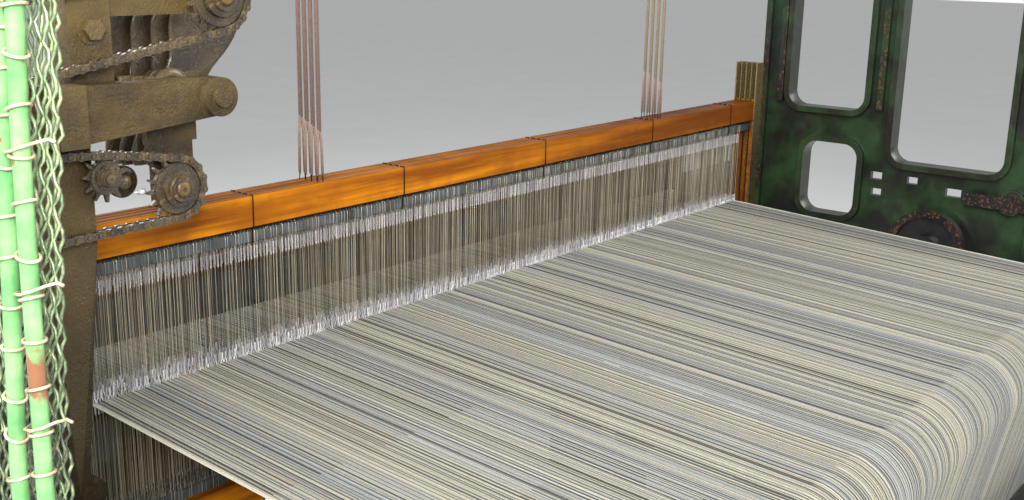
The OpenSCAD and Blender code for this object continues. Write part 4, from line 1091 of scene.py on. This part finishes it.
@dataclass
class HealdShaft(Assembly):
    """One shaft's twin-wire healds with eyes, steel bars and hooks; lengths in mm from the eye."""

    rng: np.random.Generator
    shaft: int
    top: float = 157.5
    bar: float = 13.0
    half_bar: float = 1.1
    wire: float = 0.36
    eye_wire: float = 0.95
    twist_wire: float = 0.62
    stray: float = 1.3
    hooks: Tuple[float, ...] = (509, 246, -78, -398, -690, 736)
    hook_wire: float = 0.8
    hook_gap: float = 0.9

    # Height below the upper loop's neck, then offsets along the warp and along the width
    twist: Rows = (
        (5, 0.5, 0.3), (8, 0.4, -0.6), (11, -0.4, 0.6), (14, 0.4, -0.6), (17, -0.4, 0.6),
        (20, 0.4, -0.6), (23, 0.3, 0.3),
    )
    # Height from the eye, then the same offsets
    eye: Rows = (
        (14, 0.3, 0.2), (11.5, 0.4, -0.6), (9, -0.4, 0.6), (6.5, 0.5, -0.4), (3.5, 0, 1.3),
        (0, 0, 1.7), (-3.5, 0, 1.3), (-6.5, -0.5, -0.4), (-9, 0.4, 0.6), (-11.5, -0.4, -0.6),
        (-14, 0.3, 0.2),
    )

    @property
    def body(self) -> str:
        """The body that the shaft's pieces move with."""
        return f"heald_shaft_{self.shaft}"

    @property
    def neck(self) -> float:
        """The height of the upper loop's neck."""
        return self.top - self.bar

    def strands(
        self, rows: np.ndarray, places: np.ndarray, y: float, radius: float
    ) -> Surface:
        """Two wires that twist round each other, at every place.

        Args:
            rows: (height, offset along the warp, offset along the width) in mm.
            places: places along the width.
            y: the shaft's middle.
            radius: the wires' radius in mm.

        Returns:
            The surface of all the wires.
        """
        parts = []
        for side in (1, -1):
            path = np.zeros((len(places), len(rows), 3))
            path[..., 0] = places[:, None] + side * rows[:, 2] * MM
            path[..., 1] = y + side * rows[:, 1] * MM
            path[..., 2] = self.loom.eye + rows[:, 0] * MM
            parts.append(tubes(path, radius * MM, 3, (1, 0.3, 0)))
        return Surface.joined(parts)

    def wire_rows(self) -> np.ndarray:
        """Heights and sideways offsets of a heald's wire, in mm, from its top down.

        Returns:
            Rows for strands().
        """
        top, neck = self.top, self.neck
        upper = np.array([
            (top + 1, 0, 0), (top - 1, 1.7, 0.2), (neck - 2, 1.7, 0.2), (neck - 8, 0.4, 0.4),
            (neck - 24, 0.4, 0.35), (19, 0.4, 0.35), (16, 0, -0.5), (13, -0.4, 0.4), (8, 0, 0.4),
        ])
        return np.concatenate([upper, upper[::-1] * [-1, 1, 1]])

    def twist_rows(self) -> np.ndarray:
        """Heights and offsets of the bright twist below the upper loop, in mm."""
        return np.array([(self.neck - down, along, across) for down, along, across in self.twist])

    def bars(self, node: Span, y: float) -> bpy.types.Object:
        """The two flat steel bars that the healds hang on.

        Args:
            node: the healds' span.
            y: the shaft's middle.

        Returns:
            The bars.
        """
        thick, eye = self.half_bar * MM, self.loom.eye
        low = [[node.low[0], y - thick, eye + z * MM] for z in (self.neck, -self.top)]
        high = [[node.high[0], y + thick, eye + z * MM] for z in (self.top, -self.neck)]
        name = f"heald_bars_{self.shaft}"
        return piece(name, boxes(low, high), BLUE_STEEL, self.body, False)

    def bar_hooks(self) -> bpy.types.Object:
        """Wire hooks that hang the steel bars on the wooden ones.

        Returns:
            The hooks.
        """
        frame = Span.of(f"heald_frame_{self.shaft}")
        y, half = frame.middle[1], (frame.high[1] - frame.low[1]) / 2
        gap = self.hook_gap * MM
        top, out = frame.high[2] - BAR_LUG - self.loom.eye, half + gap
        rows = [
            (-out * 0.4, top + gap), (out * 0.8, top + gap), (out, top - 1 * MM),
            (out, 165 * MM), (2.0 * MM, 160 * MM), (2.0 * MM, 143 * MM), (-1.8 * MM, 143 * MM),
        ]
        parts = []
        for sign in (1, -1):
            for x in self.hooks:
                line = [[x * MM, y + dy, self.loom.eye + sign * dz] for dy, dz in rows]
                parts.append(tubes(line, self.hook_wire * MM, 6, (1, 0, 0), capped=True))
        name = f"bar_hooks_{self.shaft}"
        return piece(name, Surface.joined(parts), DARK_WIRE, self.body)

    def build(self) -> List[bpy.types.Object]:
        """Builds wires, eyes, bars and hooks.

        Returns:
            The shaft's pieces.
        """
        places = self.loom.yarn_x[self.shaft - 1:: len(SHAFTS)]
        places = places + self.rng.uniform(-self.stray, self.stray, len(places)) * MM
        node = Span.of(f"healds_{self.shaft}")
        y = node.middle[1]
        wires = self.strands(self.wire_rows(), places, y, self.wire)
        strands = piece(f"heald_wires_{self.shaft}", wires, HEALD_WIRE, self.body)
        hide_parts(f"healds_{self.shaft}")
        eyes = Surface.joined([
            self.strands(np.array(self.eye), places, y, self.eye_wire),
            self.strands(self.twist_rows(), places, y, self.twist_wire),
        ])
        bright = piece(f"heald_eyes_{self.shaft}", eyes, BRIGHT_EYE, self.body)
        return [strands, bright, self.bars(node, y), self.bar_hooks()]


@dataclass
class Reed(Assembly):
    """The reed: flat wires between two bound baulks."""

    baulk: float = 0.0238
    post: float = 0.005
    half_wire: float = 0.00015
    inset: float = 0.001

    def build(self) -> List[bpy.types.Object]:
        """Builds the surround as four boxes and each wire as a thin box.

        Returns:
            The surround and the wires.
        """
        node = Span.of("reed")
        low, high = node.low, node.high
        lows = [low, [low[0], low[1], high[2] - self.baulk], low, [high[0] - self.post, *low[1:]]]
        highs = [[*high[:2], low[2] + self.baulk], high, [low[0] + self.post, *high[1:]], high]
        walls = boxes(lows, highs)
        surround = piece("reed_baulks", walls, WORN_STEEL, "sley", False)
        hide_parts("reed")
        x = np.linspace(-self.loom.warp_half, self.loom.warp_half, self.loom.yarns // 2 + 1)
        near, far = np.zeros((len(x), 3)), np.zeros((len(x), 3))
        near[:, 0], near[:, 1:] = x - self.half_wire, (low[1] + self.inset, low[2] + self.baulk)
        far[:, 0], far[:, 1:] = x + self.half_wire, (high[1] - self.inset, high[2] - self.baulk)
        wires = piece("reed_wires", boxes(near, far), BLUE_STEEL, "sley", False)
        return [surround, wires]


# Harness cords


@dataclass
class HarnessCords(Assembly):
    """Cords over the sheaves, each split in two above its shaft, and the hooks that take them.

    The sheave and the cords are in metres, and the rest is in millimetres.
    """

    sheave_r: float = 0.039
    run: float = 0.0368
    radius: float = 0.0029
    tail: float = 0.0019
    split: float = 62.0
    stagger: float = 5.0
    tail_rows: Rows = ((0, 8), (1.4, 0), (3.4, -18))
    tail_end: Tuple[float, float] = (4.2, 9.0)
    hook_rows: Rows = ((4.5, -6), (4.5, 7), (4.2, 10), (3.0, 7))
    hook_wire: float = 0.7

    def drops(self) -> List[Tuple[float, float]]:
        """The sheaves and the places where the cords drop from them.

        Returns:
            Pairs of a sheave's centre and its cords' place along the width, near side first.
        """
        node = Span.of("cord_sheaves")
        return [
            (x, x - self.run) for x in (node.high[0] - self.sheave_r, node.low[0] + self.sheave_r)
        ]

    def drop(self, centre: Sequence[float], low: float) -> np.ndarray:
        """A cord's line up from its shaft and a quarter turn over its sheave.

        Args:
            centre: the sheave's centre in the cord's plane.
            low: the height where the line starts.

        Returns:
            The points of the line.
        """
        x, y, z = centre
        turn = np.linspace(math.pi, math.pi / 2, 10)
        bend = [x + self.run * np.cos(turn), np.full(10, y), z + self.run * np.sin(turn)]
        return np.concatenate([[[x - self.run, y, low]], np.stack(bend, 1)])

    def tails(self, drop: float, y: float, foot: float, bar_top: float) -> List[Surface]:
        """The two strands that a cord splits into above its shaft.

        Args:
            drop: where the cord drops along the width.
            y: the shaft's middle.
            foot: the height where the cord splits.
            bar_top: the height of the wooden bar's top.

        Returns:
            The strands' surfaces.
        """
        fans = [
            [[drop + side * dx * MM, y, foot + dz * MM] for dx, dz in self.tail_rows]
            + [[drop + side * self.tail_end[0] * MM, y, bar_top + self.tail_end[1] * MM]]
            for side in (-1, 1)
        ]
        return [tubes(fan, self.tail, 6, (0, 1, 0.01), capped=True) for fan in fans]

    def cord(
        self, name: str, line: np.ndarray, finish: Finish, bend: Tuple[str, np.ndarray, np.ndarray]
    ) -> bpy.types.Object:
        """A cord along a line, kept where it is and moving with no body.

        Args:
            name: the piece's name.
            line: its points.
            finish: its finish.
            bend: the other body, and two points on the line, handed on to piece().

        Returns:
            The cord.
        """
        surface = tubes(line, self.radius, 8, (0, 1, 0.01), capped=True)
        return piece(name, surface, finish, ROOT_BODY, bend=bend)

    def cords(self, shaft: int) -> List[bpy.types.Object]:
        """One shaft's cords: drops from the sheaves, runs over them, and tails that move with the
        shaft.

        Args:
            shaft: the shaft's number.

        Returns:
            The cords and the tails.
        """
        z = Span.of("cord_sheaves").high[2] - self.sheave_r
        bar_top = Span.of("heald_frame_1").high[2] - BAR_LUG
        end = Span.of("harness_cords").high[0]
        y = Span.of(f"heald_frame_{shaft}").middle[1]
        foot = bar_top + (self.split + self.stagger * shaft) * MM
        moving, lever = f"heald_shaft_{shaft}", f"jack_lever_{shaft}"
        made, tails = [], []
        sides = zip(("near", "far"), (MAUVE_CORD, PALE_CORD), self.drops())
        for side, finish, (centre, drop) in sides:
            bend = moving, np.array([drop, y, z]), np.array([drop, y, foot])
            fall = self.drop((centre, y, z), foot)
            made.append(self.cord(f"harness_cord_{side}_{shaft}", fall, finish, bend))
            ends = np.array([[centre, y, z + self.run], [end, y, z + self.run]])
            name = f"harness_cord_run_{side}_{shaft}"
            made.append(self.cord(name, ends, finish, (lever, ends[0], ends[1])))
            tails += self.tails(drop, y, foot, bar_top)
        name = f"harness_cord_tails_{shaft}"
        made.append(piece(name, Surface.joined(tails), BEIGE_CORD, moving))
        return made

    def hooks(self, shaft: int) -> bpy.types.Object:
        """Wire hooks in the top of one shaft that take the split cords.

        Args:
            shaft: the shaft's number.

        Returns:
            The hooks.
        """
        frame = Span.of(f"heald_frame_{shaft}")
        y, top = frame.middle[1], frame.high[2] - BAR_LUG
        parts = []
        for _, drop in self.drops():
            for side in (-1, 1):
                line = [[drop + side * dx * MM, y, top + dz * MM] for dx, dz in self.hook_rows]
                parts.append(tubes(line, self.hook_wire * MM, 6, (0, 1, 0), capped=True))
        name = f"cord_hooks_{shaft}"
        return piece(name, Surface.joined(parts), DARK_WIRE, f"heald_shaft_{shaft}")

    def build(self) -> List[bpy.types.Object]:
        """Builds cords, tails and hooks.

        Returns:
            The pieces, shaft by shaft.
        """
        made = [part for shaft in SHAFTS for part in [*self.cords(shaft), self.hooks(shaft)]]
        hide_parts("harness_cords")
        return made


# Wire guard


@dataclass
class WireGuard(Assembly):
    """The guard at the near end: bent rods, crimped wires behind them and ties round them.

    Depths are in mm behind the rear shaft and heights in mm from the eyes; the stays' and rails'
    sizes, the plane of the rods and the plane of the wires, inwards, are in metres.
    """

    rng: np.random.Generator
    low: float = -720.0

    rod: float = 4.85
    plane: float = 0.0113
    foot: float = 0.0001
    stations: int = 60
    posts: Tuple[float, float] = (70.0, 290.0)
    rail: float = 0.0042
    rail_up: float = 645.0
    rail_down: float = 20.0
    stay: float = 0.006
    pad: Tuple[float, float] = (0.017, 0.006)
    stay_y: Tuple[float, ...] = (82, 520)
    stay_z: Tuple[float, ...] = (-840, -99)

    wire: float = 1.2
    swing: float = 2.7
    cross: float = 0.7
    period: float = 19.0
    pitch: float = 8.4
    edge_pitch: float = 4.6
    edge_wires: int = 5
    wires: int = 70
    layer_in: float = 3.4
    mesh_in: float = 0.0223
    mesh_down: float = 14.0
    mesh_end: float = 538.0
    first: float = 66.0
    lean_span: Tuple[float, float] = (430.0, 541.0)
    jitter: float = 0.5
    fullness: Tuple[float, float] = (0.75, 1.1)

    tie_pitch: float = 26.0
    tie_step: float = 9.0
    tie_stray: float = 3.0
    tie_tilt: float = 2.6
    tie_wire: float = 0.95
    tie_loop: Tuple[float, float] = (6.0, 6.6)
    strand: Rows = (
        (-6, -18, -5), (4.6, -9, -3), (6.0, 0, -1), (3, 6.5, 1.5), (-4, 9, 3.5), (-8.5, 13, 5),
        (-9.5, 17, 4),
    )

    # How each rod and the mesh's edge lean, as (height, depth)
    outer_rod: Rows = (
        (-970, 540), (-100, 536), (100, 531), (193, 530), (269, 533), (339, 535), (406, 538),
        (469, 544), (570, 549),
    )
    inner_rod: Rows = (
        (-970, 514), (-100, 512), (100, 505), (196, 501), (262, 508), (336, 515), (404, 521),
        (469, 531), (570, 535),
    )
    edge: Rows = (
        (-970, 550), (100, 541), (192, 539), (268, 543), (340, 551), (407, 560), (470, 567),
        (570, 567),
    )

    def lean(self, rows: Rows, heights: np.ndarray) -> np.ndarray:
        """The depth of a leaning line at some heights, both in mm."""
        table = np.array(rows)
        return np.interp(heights, table[:, 0], table[:, 1])

    def rods(self, node: Span, x: float) -> bpy.types.Object:
        """Upright rods, the rails between them and the stays that hold them to the frame.

        Args:
            node: the guard's span.
            x: the rods' plane.

        Returns:
            The rods.
        """
        top = (node.high[2] - self.loom.eye) / MM
        heights = np.linspace(-self.loom.eye / MM, top, self.stations)
        levels = np.maximum(self.loom.eye + heights * MM, self.foot)
        lines = [np.full(self.stations, depth) for depth in self.posts]
        lines += [self.lean(rows, heights) for rows in (self.inner_rod, self.outer_rod)]
        parts = []
        for depths in lines:
            path = [np.full(self.stations, x), self.loom.back + depths * MM, levels]
            parts.append(tubes(np.stack(path, 1), self.rod * MM, 16, (1, 0, 0), capped=True))
        near = self.posts[0]
        for z in (self.low, self.low + self.rail_up, top - self.rail_down):
            reach = (float(self.lean(self.outer_rod, np.array([z]))[0]) - near) * MM
            rail = [(0, 0), (0, self.rail), (reach, self.rail), (reach, 0)]
            parts.append(turned(rail, self.loom.at(x / MM, near, z), "y", 16))
        start, (wide, deep), thin = node.low[0], self.pad, self.stay
        stay = [(start, 0), (start, wide), (start + deep, wide), (start + deep, thin)]
        stay += [(x, thin), (x, 0)]
        for y in self.stay_y:
            for z in self.stay_z:
                parts.append(turned(stay, self.loom.at(0, y, z), "x", 16))
        rods = piece("guard_rods", Surface.joined(parts), GUARD_GREEN, ROOT_BODY)
        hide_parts("end_guard")
        return rods

    def mesh(self, node: Span) -> bpy.types.Object:
        """Two layers of upright wires whose zigzags meet side by side, closer near the edge.

        A wire's depth is its place plus a rounded triangle wave of its height, pulled along with
        the leaning edge in proportion to how near the edge it stands.

        Args:
            node: the guard's span.

        Returns:
            The wires.
        """
        top = (node.high[2] - self.loom.eye) / MM - self.mesh_down
        heights = np.arange(self.low, top, self.period / 4)
        edge = self.lean(self.edge, heights)
        wave = np.array([-1, 0, 1, 0])[np.arange(len(heights)) % 4]
        close = np.linspace(self.edge_pitch, self.pitch, self.edge_wires)
        steps = np.concatenate([close, np.full(self.wires, self.pitch)])
        start, stop = self.lean_span
        parts = []
        for layer, (inward, shift) in enumerate(((0.0, 0.0), (self.layer_in, 0.5))):
            places = self.mesh_end - np.cumsum(steps) + steps[0] * (1 - shift)
            places = places[places > self.first][::-1]
            flip = np.where((np.arange(len(places)) + layer) % 2 == 0, 1.0, -1.0)
            weight = np.clip((places - start) / (stop - start), 0, 1)
            depth = places[:, None] + weight[:, None] * (edge - stop - self.swing)
            depth = depth + self.rng.normal(0, self.jitter, (len(places), len(heights)))
            full = self.rng.uniform(*self.fullness, (len(places), 1))
            depth = depth + self.swing * wave * flip[:, None] * full
            paths = np.zeros((len(places), len(heights), 3))
            paths[..., 0] = node.high[0] - self.mesh_in - inward * MM
            paths[..., 0] += self.cross * MM * np.roll(wave, 1)
            paths[..., 1] = self.loom.back + depth * MM
            paths[..., 2] = self.loom.eye + heights * MM
            parts.append(tubes(paths, self.wire * MM, 3, (0, 1, 0.2)))
        return piece("guard_wires", Surface.joined(parts), GUARD_WIRE, ROOT_BODY)

    def ties(self, node: Span, x: float) -> bpy.types.Object:
        """Loops round each rod, tilted a little, with a longer strand to the mesh now and then.

        Args:
            node: the guard's span.
            x: the rods' plane.

        Returns:
            The ties.
        """
        top = (node.high[2] - self.loom.eye) / MM - self.rail_down
        turn = round_turn(16)
        deep, wide = self.tie_loop
        loops, strands = [], []
        post = ((-970, self.posts[0]), (570, self.posts[0]))
        for count, rows in enumerate((post, self.inner_rod, self.outer_rod)):
            heights = np.arange(self.low + self.tie_step * count, top, self.tie_pitch)
            heights = heights + self.rng.uniform(-self.tie_stray, self.tie_stray, len(heights))
            depths = self.lean(rows, heights)
            tilts = self.rng.uniform(-self.tie_tilt, self.tie_tilt, len(heights))
            for number, (z, y, tilt) in enumerate(zip(heights, depths, tilts)):
                ring = np.stack([deep * np.cos(turn), wide * np.sin(turn), tilt * np.sin(turn)], 1)
                line = self.loom.at(x / MM, y, z) + MM * ring
                loops.append(tubes(line, self.tie_wire * MM, 6, (0, 0, 1), closed=True))
                if count == 2 and number % 3 == 0:
                    line = self.loom.at(x / MM, y, z + 4) + MM * np.array(self.strand)
                    strands.append(tubes(line, self.tie_wire * MM, 6, (0, 0, 1), capped=True))
        parts = [Surface.joined(loops), Surface.joined(strands)]
        return piece("guard_ties", Surface.joined(parts), TIE_WIRE, ROOT_BODY)

    def build(self) -> List[bpy.types.Object]:
        """Builds rods, mesh and ties.

        Returns:
            The guard's pieces.
        """
        node = Span.of("end_guard")
        x = node.high[0] - self.plane
        return [self.rods(node, x), self.mesh(node), self.ties(node, x)]


# Greasy iron near the camera


@dataclass
class JackLevers(Assembly):
    """Four curved cast levers on one shaft, the nearest one broad; lengths in mm.

    Each is given as rows of (height from the eyes, left edge, right edge), below and above its
    boss. All four meet in one upper end.
    """

    pivot: Tuple[float, float] = (614.0, 339.0)
    half: float = 5.3
    left: float = 1.5
    widen: Tuple[float, ...] = (3.5, 3.5, 8.0, 13.0)
    boss: Tuple[float, float] = (11.8, 24.0)
    neck: Tuple[float, float, float, float] = (20.0, 22.0, 9.0, 16.0)
    neck_share: float = 0.6
    lower: Tuple[Rows, ...] = (
        ((257, 646, 636), (262, 651, 630), (275, 651, 626), (285, 647, 622), (300, 641, 616),
         (326, 634, 606)),
        ((257, 656, 642), (264, 660, 637), (274, 659, 634), (285, 655, 630), (317, 640, 614),
         (326, 636, 610)),
        ((257, 664, 648), (264, 668, 643), (274, 667, 642), (290, 662, 637), (326, 653, 628)),
        ((257, 673, 657), (264, 677, 652), (285, 675, 650), (326, 672, 647)),
    )
    upper: Tuple[Rows, ...] = (
        ((351, 628, 570), (360, 613, 558), (382, 609, 532), (404, 612, 519), (424, 608, 513),
         (434, 601, 510), (448, 590, 508), (480, 580, 514), (540, 581, 530), (620, 600, 560),
         (720, 628, 594), (820, 644, 620), (900, 649, 628), (919, 645, 631)),
        ((351, 628, 603), (382, 625, 600), (404, 627, 602), (423, 623, 598), (434, 615, 590),
         (448, 602, 577), (480, 594, 569), (540, 595, 570), (620, 608, 584), (720, 632, 609),
         (820, 646, 624), (900, 649, 628), (919, 645, 631)),
        ((351, 646, 620), (382, 643, 618), (404, 644, 619), (423, 640, 615), (434, 631, 606),
         (448, 617, 592), (480, 606, 581), (540, 604, 579), (620, 614, 590), (720, 634, 611),
         (820, 646, 624), (900, 649, 628), (919, 645, 631)),
        ((351, 669, 643), (404, 669, 644), (424, 664, 639), (434, 658, 633), (448, 650, 625),
         (480, 640, 615), (540, 634, 609), (620, 634, 610), (720, 640, 617), (820, 647, 625),
         (900, 649, 628), (919, 645, 631)),
    )

    def lever(self, number: int) -> bpy.types.Object:
        """One lever: a leaf below its boss, a ring on the shaft, a leaf above, and their neck.

        Args:
            number: the lever's number.

        Returns:
            The lever.
        """
        name = f"jack_lever_{number}"
        y = Span.of(name).middle[1]
        parts = []
        for rows in (self.lower[number - 1], self.upper[number - 1]):
            stations = np.array(rows, float) * MM
            stations[:, 0] += self.loom.eye
            stations[:, 1] += self.left * MM
            stations[1:-1, 2] -= self.widen[number - 1] * MM
            parts.append(leaf(stations, y, self.half * MM))
        inner, outer, deep = (v * MM for v in (*self.boss, self.half))
        ring = [(-deep, inner), (-deep, outer), (deep, outer), (deep, inner), (-deep, inner)]
        x, z = self.pivot
        centre = np.array([x * MM, y, self.loom.eye + z * MM])
        parts.append(turned(ring, centre, "y", 36))
        start, stop, step, tall = self.neck
        thick = self.half * self.neck_share
        low = centre + MM * np.array([start, -thick, -tall])
        high = centre + MM * np.array([stop + step * number, thick, tall])
        parts.append(boxes(low, high))
        made = piece(f"{name}_casting", Surface.joined(parts), OILY_IRON, name)
        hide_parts(name)
        return made

    def build(self) -> List[bpy.types.Object]:
        """Builds the four levers."""
        return [self.lever(number) for number in SHAFTS]


@dataclass
class ChainBushes(Assembly):
    """Brown oily bushes on the hubs of the chain wheels, each turned to one profile, in mm."""

    out: float = 1.8
    sizes: Tuple[Tuple[str, float], ...] = (
        ("lower_chain_wheel", 14.5), ("tension_wheel", 9.5), ("upper_chain_wheel", 15.0),
    )
    profile: Rows = (
        (-13, 0), (-13, 1.0), (-7, 0.98), (-5.5, 0.85), (-5.5, 0.62), (-2.5, 0.6), (-1.5, 0.4),
        (-2.0, 0),
    )

    def build(self) -> List[bpy.types.Object]:
        """Turns one bush for each wheel.

        Returns:
            The bushes.
        """
        made = []
        for name, radius in self.sizes:
            node = Span.of(name)
            rows = [(y * MM, share * radius * MM) for y, share in self.profile]
            start = (node.middle[0], node.high[1] + self.out * MM, node.middle[2])
            bush = turned(rows, start, "y", 28)
            made.append(piece(f"{name}_bush", bush, OILED_BRONZE, name))
        return made


@dataclass
class Idler(Assembly):
    """The small idler disc behind the lower chain, and the bright pin beside it, in mm."""

    disc: Rows = (
        (-30, 0), (-30, 6), (-8, 6), (-8, 16), (-6, 17), (-1, 17), (0, 15), (0, 8), (4, 7), (5, 0),
    )
    disc_at: Tuple[float, float, float] = (718, 56, 257)
    pin: Rows = ((0, 0), (0, 3.2), (6, 3.2), (15, 0.4), (15, 0))
    pin_at: Tuple[float, float, float] = (700, 66, 246)

    def build(self) -> List[bpy.types.Object]:
        """Turns the disc and the pin.

        Returns:
            The two pieces.
        """
        disc = turned(np.array(self.disc) * MM, self.loom.at(*self.disc_at), "y", 28)
        pin = turned(np.array(self.pin) * MM, self.loom.at(*self.pin_at), "x", 16)
        return [
            piece("idler_disc", disc, OILY_IRON, ROOT_BODY),
            piece("idler_pin", pin, BRIGHT_EYE, ROOT_BODY),
        ]


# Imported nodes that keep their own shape


@dataclass
class PackedNodes:
    """The nodes that stay: their finishes and their rounded edges."""

    frame: dict
    width: float = 0.0011
    angle: float = 40.0
    weld: float = 0.00002
    rounded: Tuple[str, ...] = (
        "near_upright", "bracket_arm", "chain_gearbox", "lower_chain_wheel", "tension_wheel",
        "upper_chain_wheel", "heald_frame_1", "heald_frame_2", "heald_frame_3", "heald_frame_4",
        "overhead_rails", "reed_cap", "sley_board", "breast_beam", "shuttle_boxes",
        "far_end_frame", "near_end_frame",
    )

    def dress(self) -> None:
        """Gives every node the finish of its slot, or its own."""
        slots = {part["node"]: part["material_slot"] for part in self.frame["record"]["subparts"]}
        for name, node in self.frame["nodes"].items():
            node.data.materials.clear()
            node.data.materials.append(material(NODE_FINISH.get(name, SLOT_FINISH[slots[name]])))

    def round_edges(self) -> None:
        """Rounds the sharp edges of cast and wooden nodes a little."""
        for name in self.rounded:
            node = self.frame["nodes"][name]
            node.modifiers.new("weld", "WELD").merge_threshold = self.weld
            bevel = node.modifiers.new("bevel", "BEVEL")
            bevel.width, bevel.segments = self.width, 2
            bevel.limit_method, bevel.angle_limit = "ANGLE", math.radians(self.angle)
            bevel.harden_normals = True


# Stage and camera


@dataclass(frozen=True)
class Lamp:
    """One soft square light; its size is in metres and its power in watts."""

    name: str
    place: Tuple[float, float, float]
    aim: Tuple[float, float, float]
    size: float
    power: float

    def build(self) -> None:
        """Hangs the light and turns it to its aim."""
        light = bpy.data.lights.new(self.name, "AREA")
        light.energy, light.size = self.power, self.size
        lamp = bpy.data.objects.new(self.name, light)
        lamp.location = self.place
        way = Vector(self.aim) - Vector(self.place)
        lamp.rotation_euler = way.to_track_quat("-Z", "Y").to_euler()
        bpy.context.scene.collection.objects.link(lamp)


@dataclass
class Stage:
    """Floor, soft lights and a sky that the camera sees as white."""

    reach: float = 40.0
    below: float = 0.0005
    sky: float = 0.5
    lamps: Tuple[Lamp, ...] = (
        Lamp("key_light", (3.2, 1.2, 3.6), (0, 0, 0.9), 2.4, 190),
        Lamp("far_light", (-3.0, 2.2, 3.2), (0, 0, 0.9), 2.4, 110),
        Lamp("front_light", (0.4, -3.6, 3.0), (0, 0, 0.9), 2.6, 110),
        Lamp("camera_light", (1.75, 1.45, 1.95), (0.1, 0, 1.0), 0.45, 38),
    )

    def world(self) -> None:
        """Makes a soft grey sky that the camera, and only it, sees as white."""
        world = bpy.data.worlds.new("studio")
        bpy.context.scene.world = world
        world.use_nodes = True
        tree = world.node_tree
        rays = add(tree, "ShaderNodeLightPath").outputs
        either = {0: rays["Is Camera Ray"], 1: rays["Is Transmission Ray"]}
        seen = add(tree, "ShaderNodeMath", either, operation="MAXIMUM").outputs[0]
        grey = {"Color": linear("#f4f5f7"), "Strength": self.sky}
        soft = add(tree, "ShaderNodeBackground", grey).outputs[0]
        plain = {"Color": (1, 1, 1, 1), "Strength": 1.0}
        white = add(tree, "ShaderNodeBackground", plain).outputs[0]
        both = add(tree, "ShaderNodeMixShader", {0: seen, 1: soft, 2: white})
        tree.links.new(both.outputs[0], tree.nodes["World Output"].inputs["Surface"])

    def floor(self) -> None:
        """Lays the floor just under the loom's feet."""
        r = self.reach
        mesh = bpy.data.meshes.new("floor")
        mesh.from_pydata([(-r, -r, 0), (r, -r, 0), (r, r, 0), (-r, r, 0)], [], [(0, 1, 2, 3)])
        mesh.materials.append(material(FLOOR_GREY))
        plane = bpy.data.objects.new("floor", mesh)
        plane.location.z = -self.below
        bpy.context.scene.collection.objects.link(plane)

    def build(self) -> None:
        """Sets the stage."""
        self.floor()
        for lamp in self.lamps:
            lamp.build()
        self.world()


@dataclass(frozen=True)
class PhotoCamera:
    """The camera, fitted to the photograph; its direction and roll are in degrees."""

    place: Tuple[float, float, float] = (1.3784, 0.97755, 1.4683)
    azimuth: float = 128.687
    elevation: float = 14.681
    roll: float = 1.088
    lens: float = 40.48
    sensor: float = 36.0
    clip: Tuple[float, float] = (0.01, 50.0)

    def build(self) -> None:
        """Places the camera and makes it the scene's."""
        a, e, r = (math.radians(v) for v in (self.azimuth, self.elevation, self.roll))
        back = Vector((math.sin(a) * math.cos(e), -math.cos(a) * math.cos(e), math.sin(e)))
        right = (-back).cross(Vector((0, 0, 1))).normalized()
        up = right.cross(-back)
        across = math.cos(r) * right + math.sin(r) * up
        over = -math.sin(r) * right + math.cos(r) * up
        data = bpy.data.cameras.new("camera")
        data.lens, data.sensor_width = self.lens, self.sensor
        data.clip_start, data.clip_end = self.clip
        camera = bpy.data.objects.new("camera", data)
        turn = Matrix((across, over, back)).transposed().to_4x4()
        camera.matrix_world = Matrix.Translation(self.place) @ turn
        bpy.context.scene.collection.objects.link(camera)
        bpy.context.scene.camera = camera


def main() -> None:
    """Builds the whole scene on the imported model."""
    logging.basicConfig(level=logging.INFO, format="%(message)s")
    rng = np.random.default_rng(SEED)
    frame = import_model()
    loom = Loom.measured()
    nodes = PackedNodes(frame)
    nodes.dress()
    assemblies: List[Assembly] = [
        Warp(loom, rng),
        WoundWarp(loom, rng),
        *(HealdShaft(loom, rng, shaft) for shaft in SHAFTS),
        Reed(loom),
        HarnessCords(loom),
        WovenCloth(loom, rng),
        WireGuard(loom, rng),
        JackLevers(loom),
        ChainBushes(loom),
        Idler(loom),
    ]
    for assembly in assemblies:
        LOG.info("%s: %d pieces", type(assembly).__name__, len(assembly.build()))
    nodes.round_edges()
    Stage().build()
    PhotoCamera().build()
    bpy.context.scene.view_settings.view_transform = "Standard"


if __name__ == "__main__":
    main()
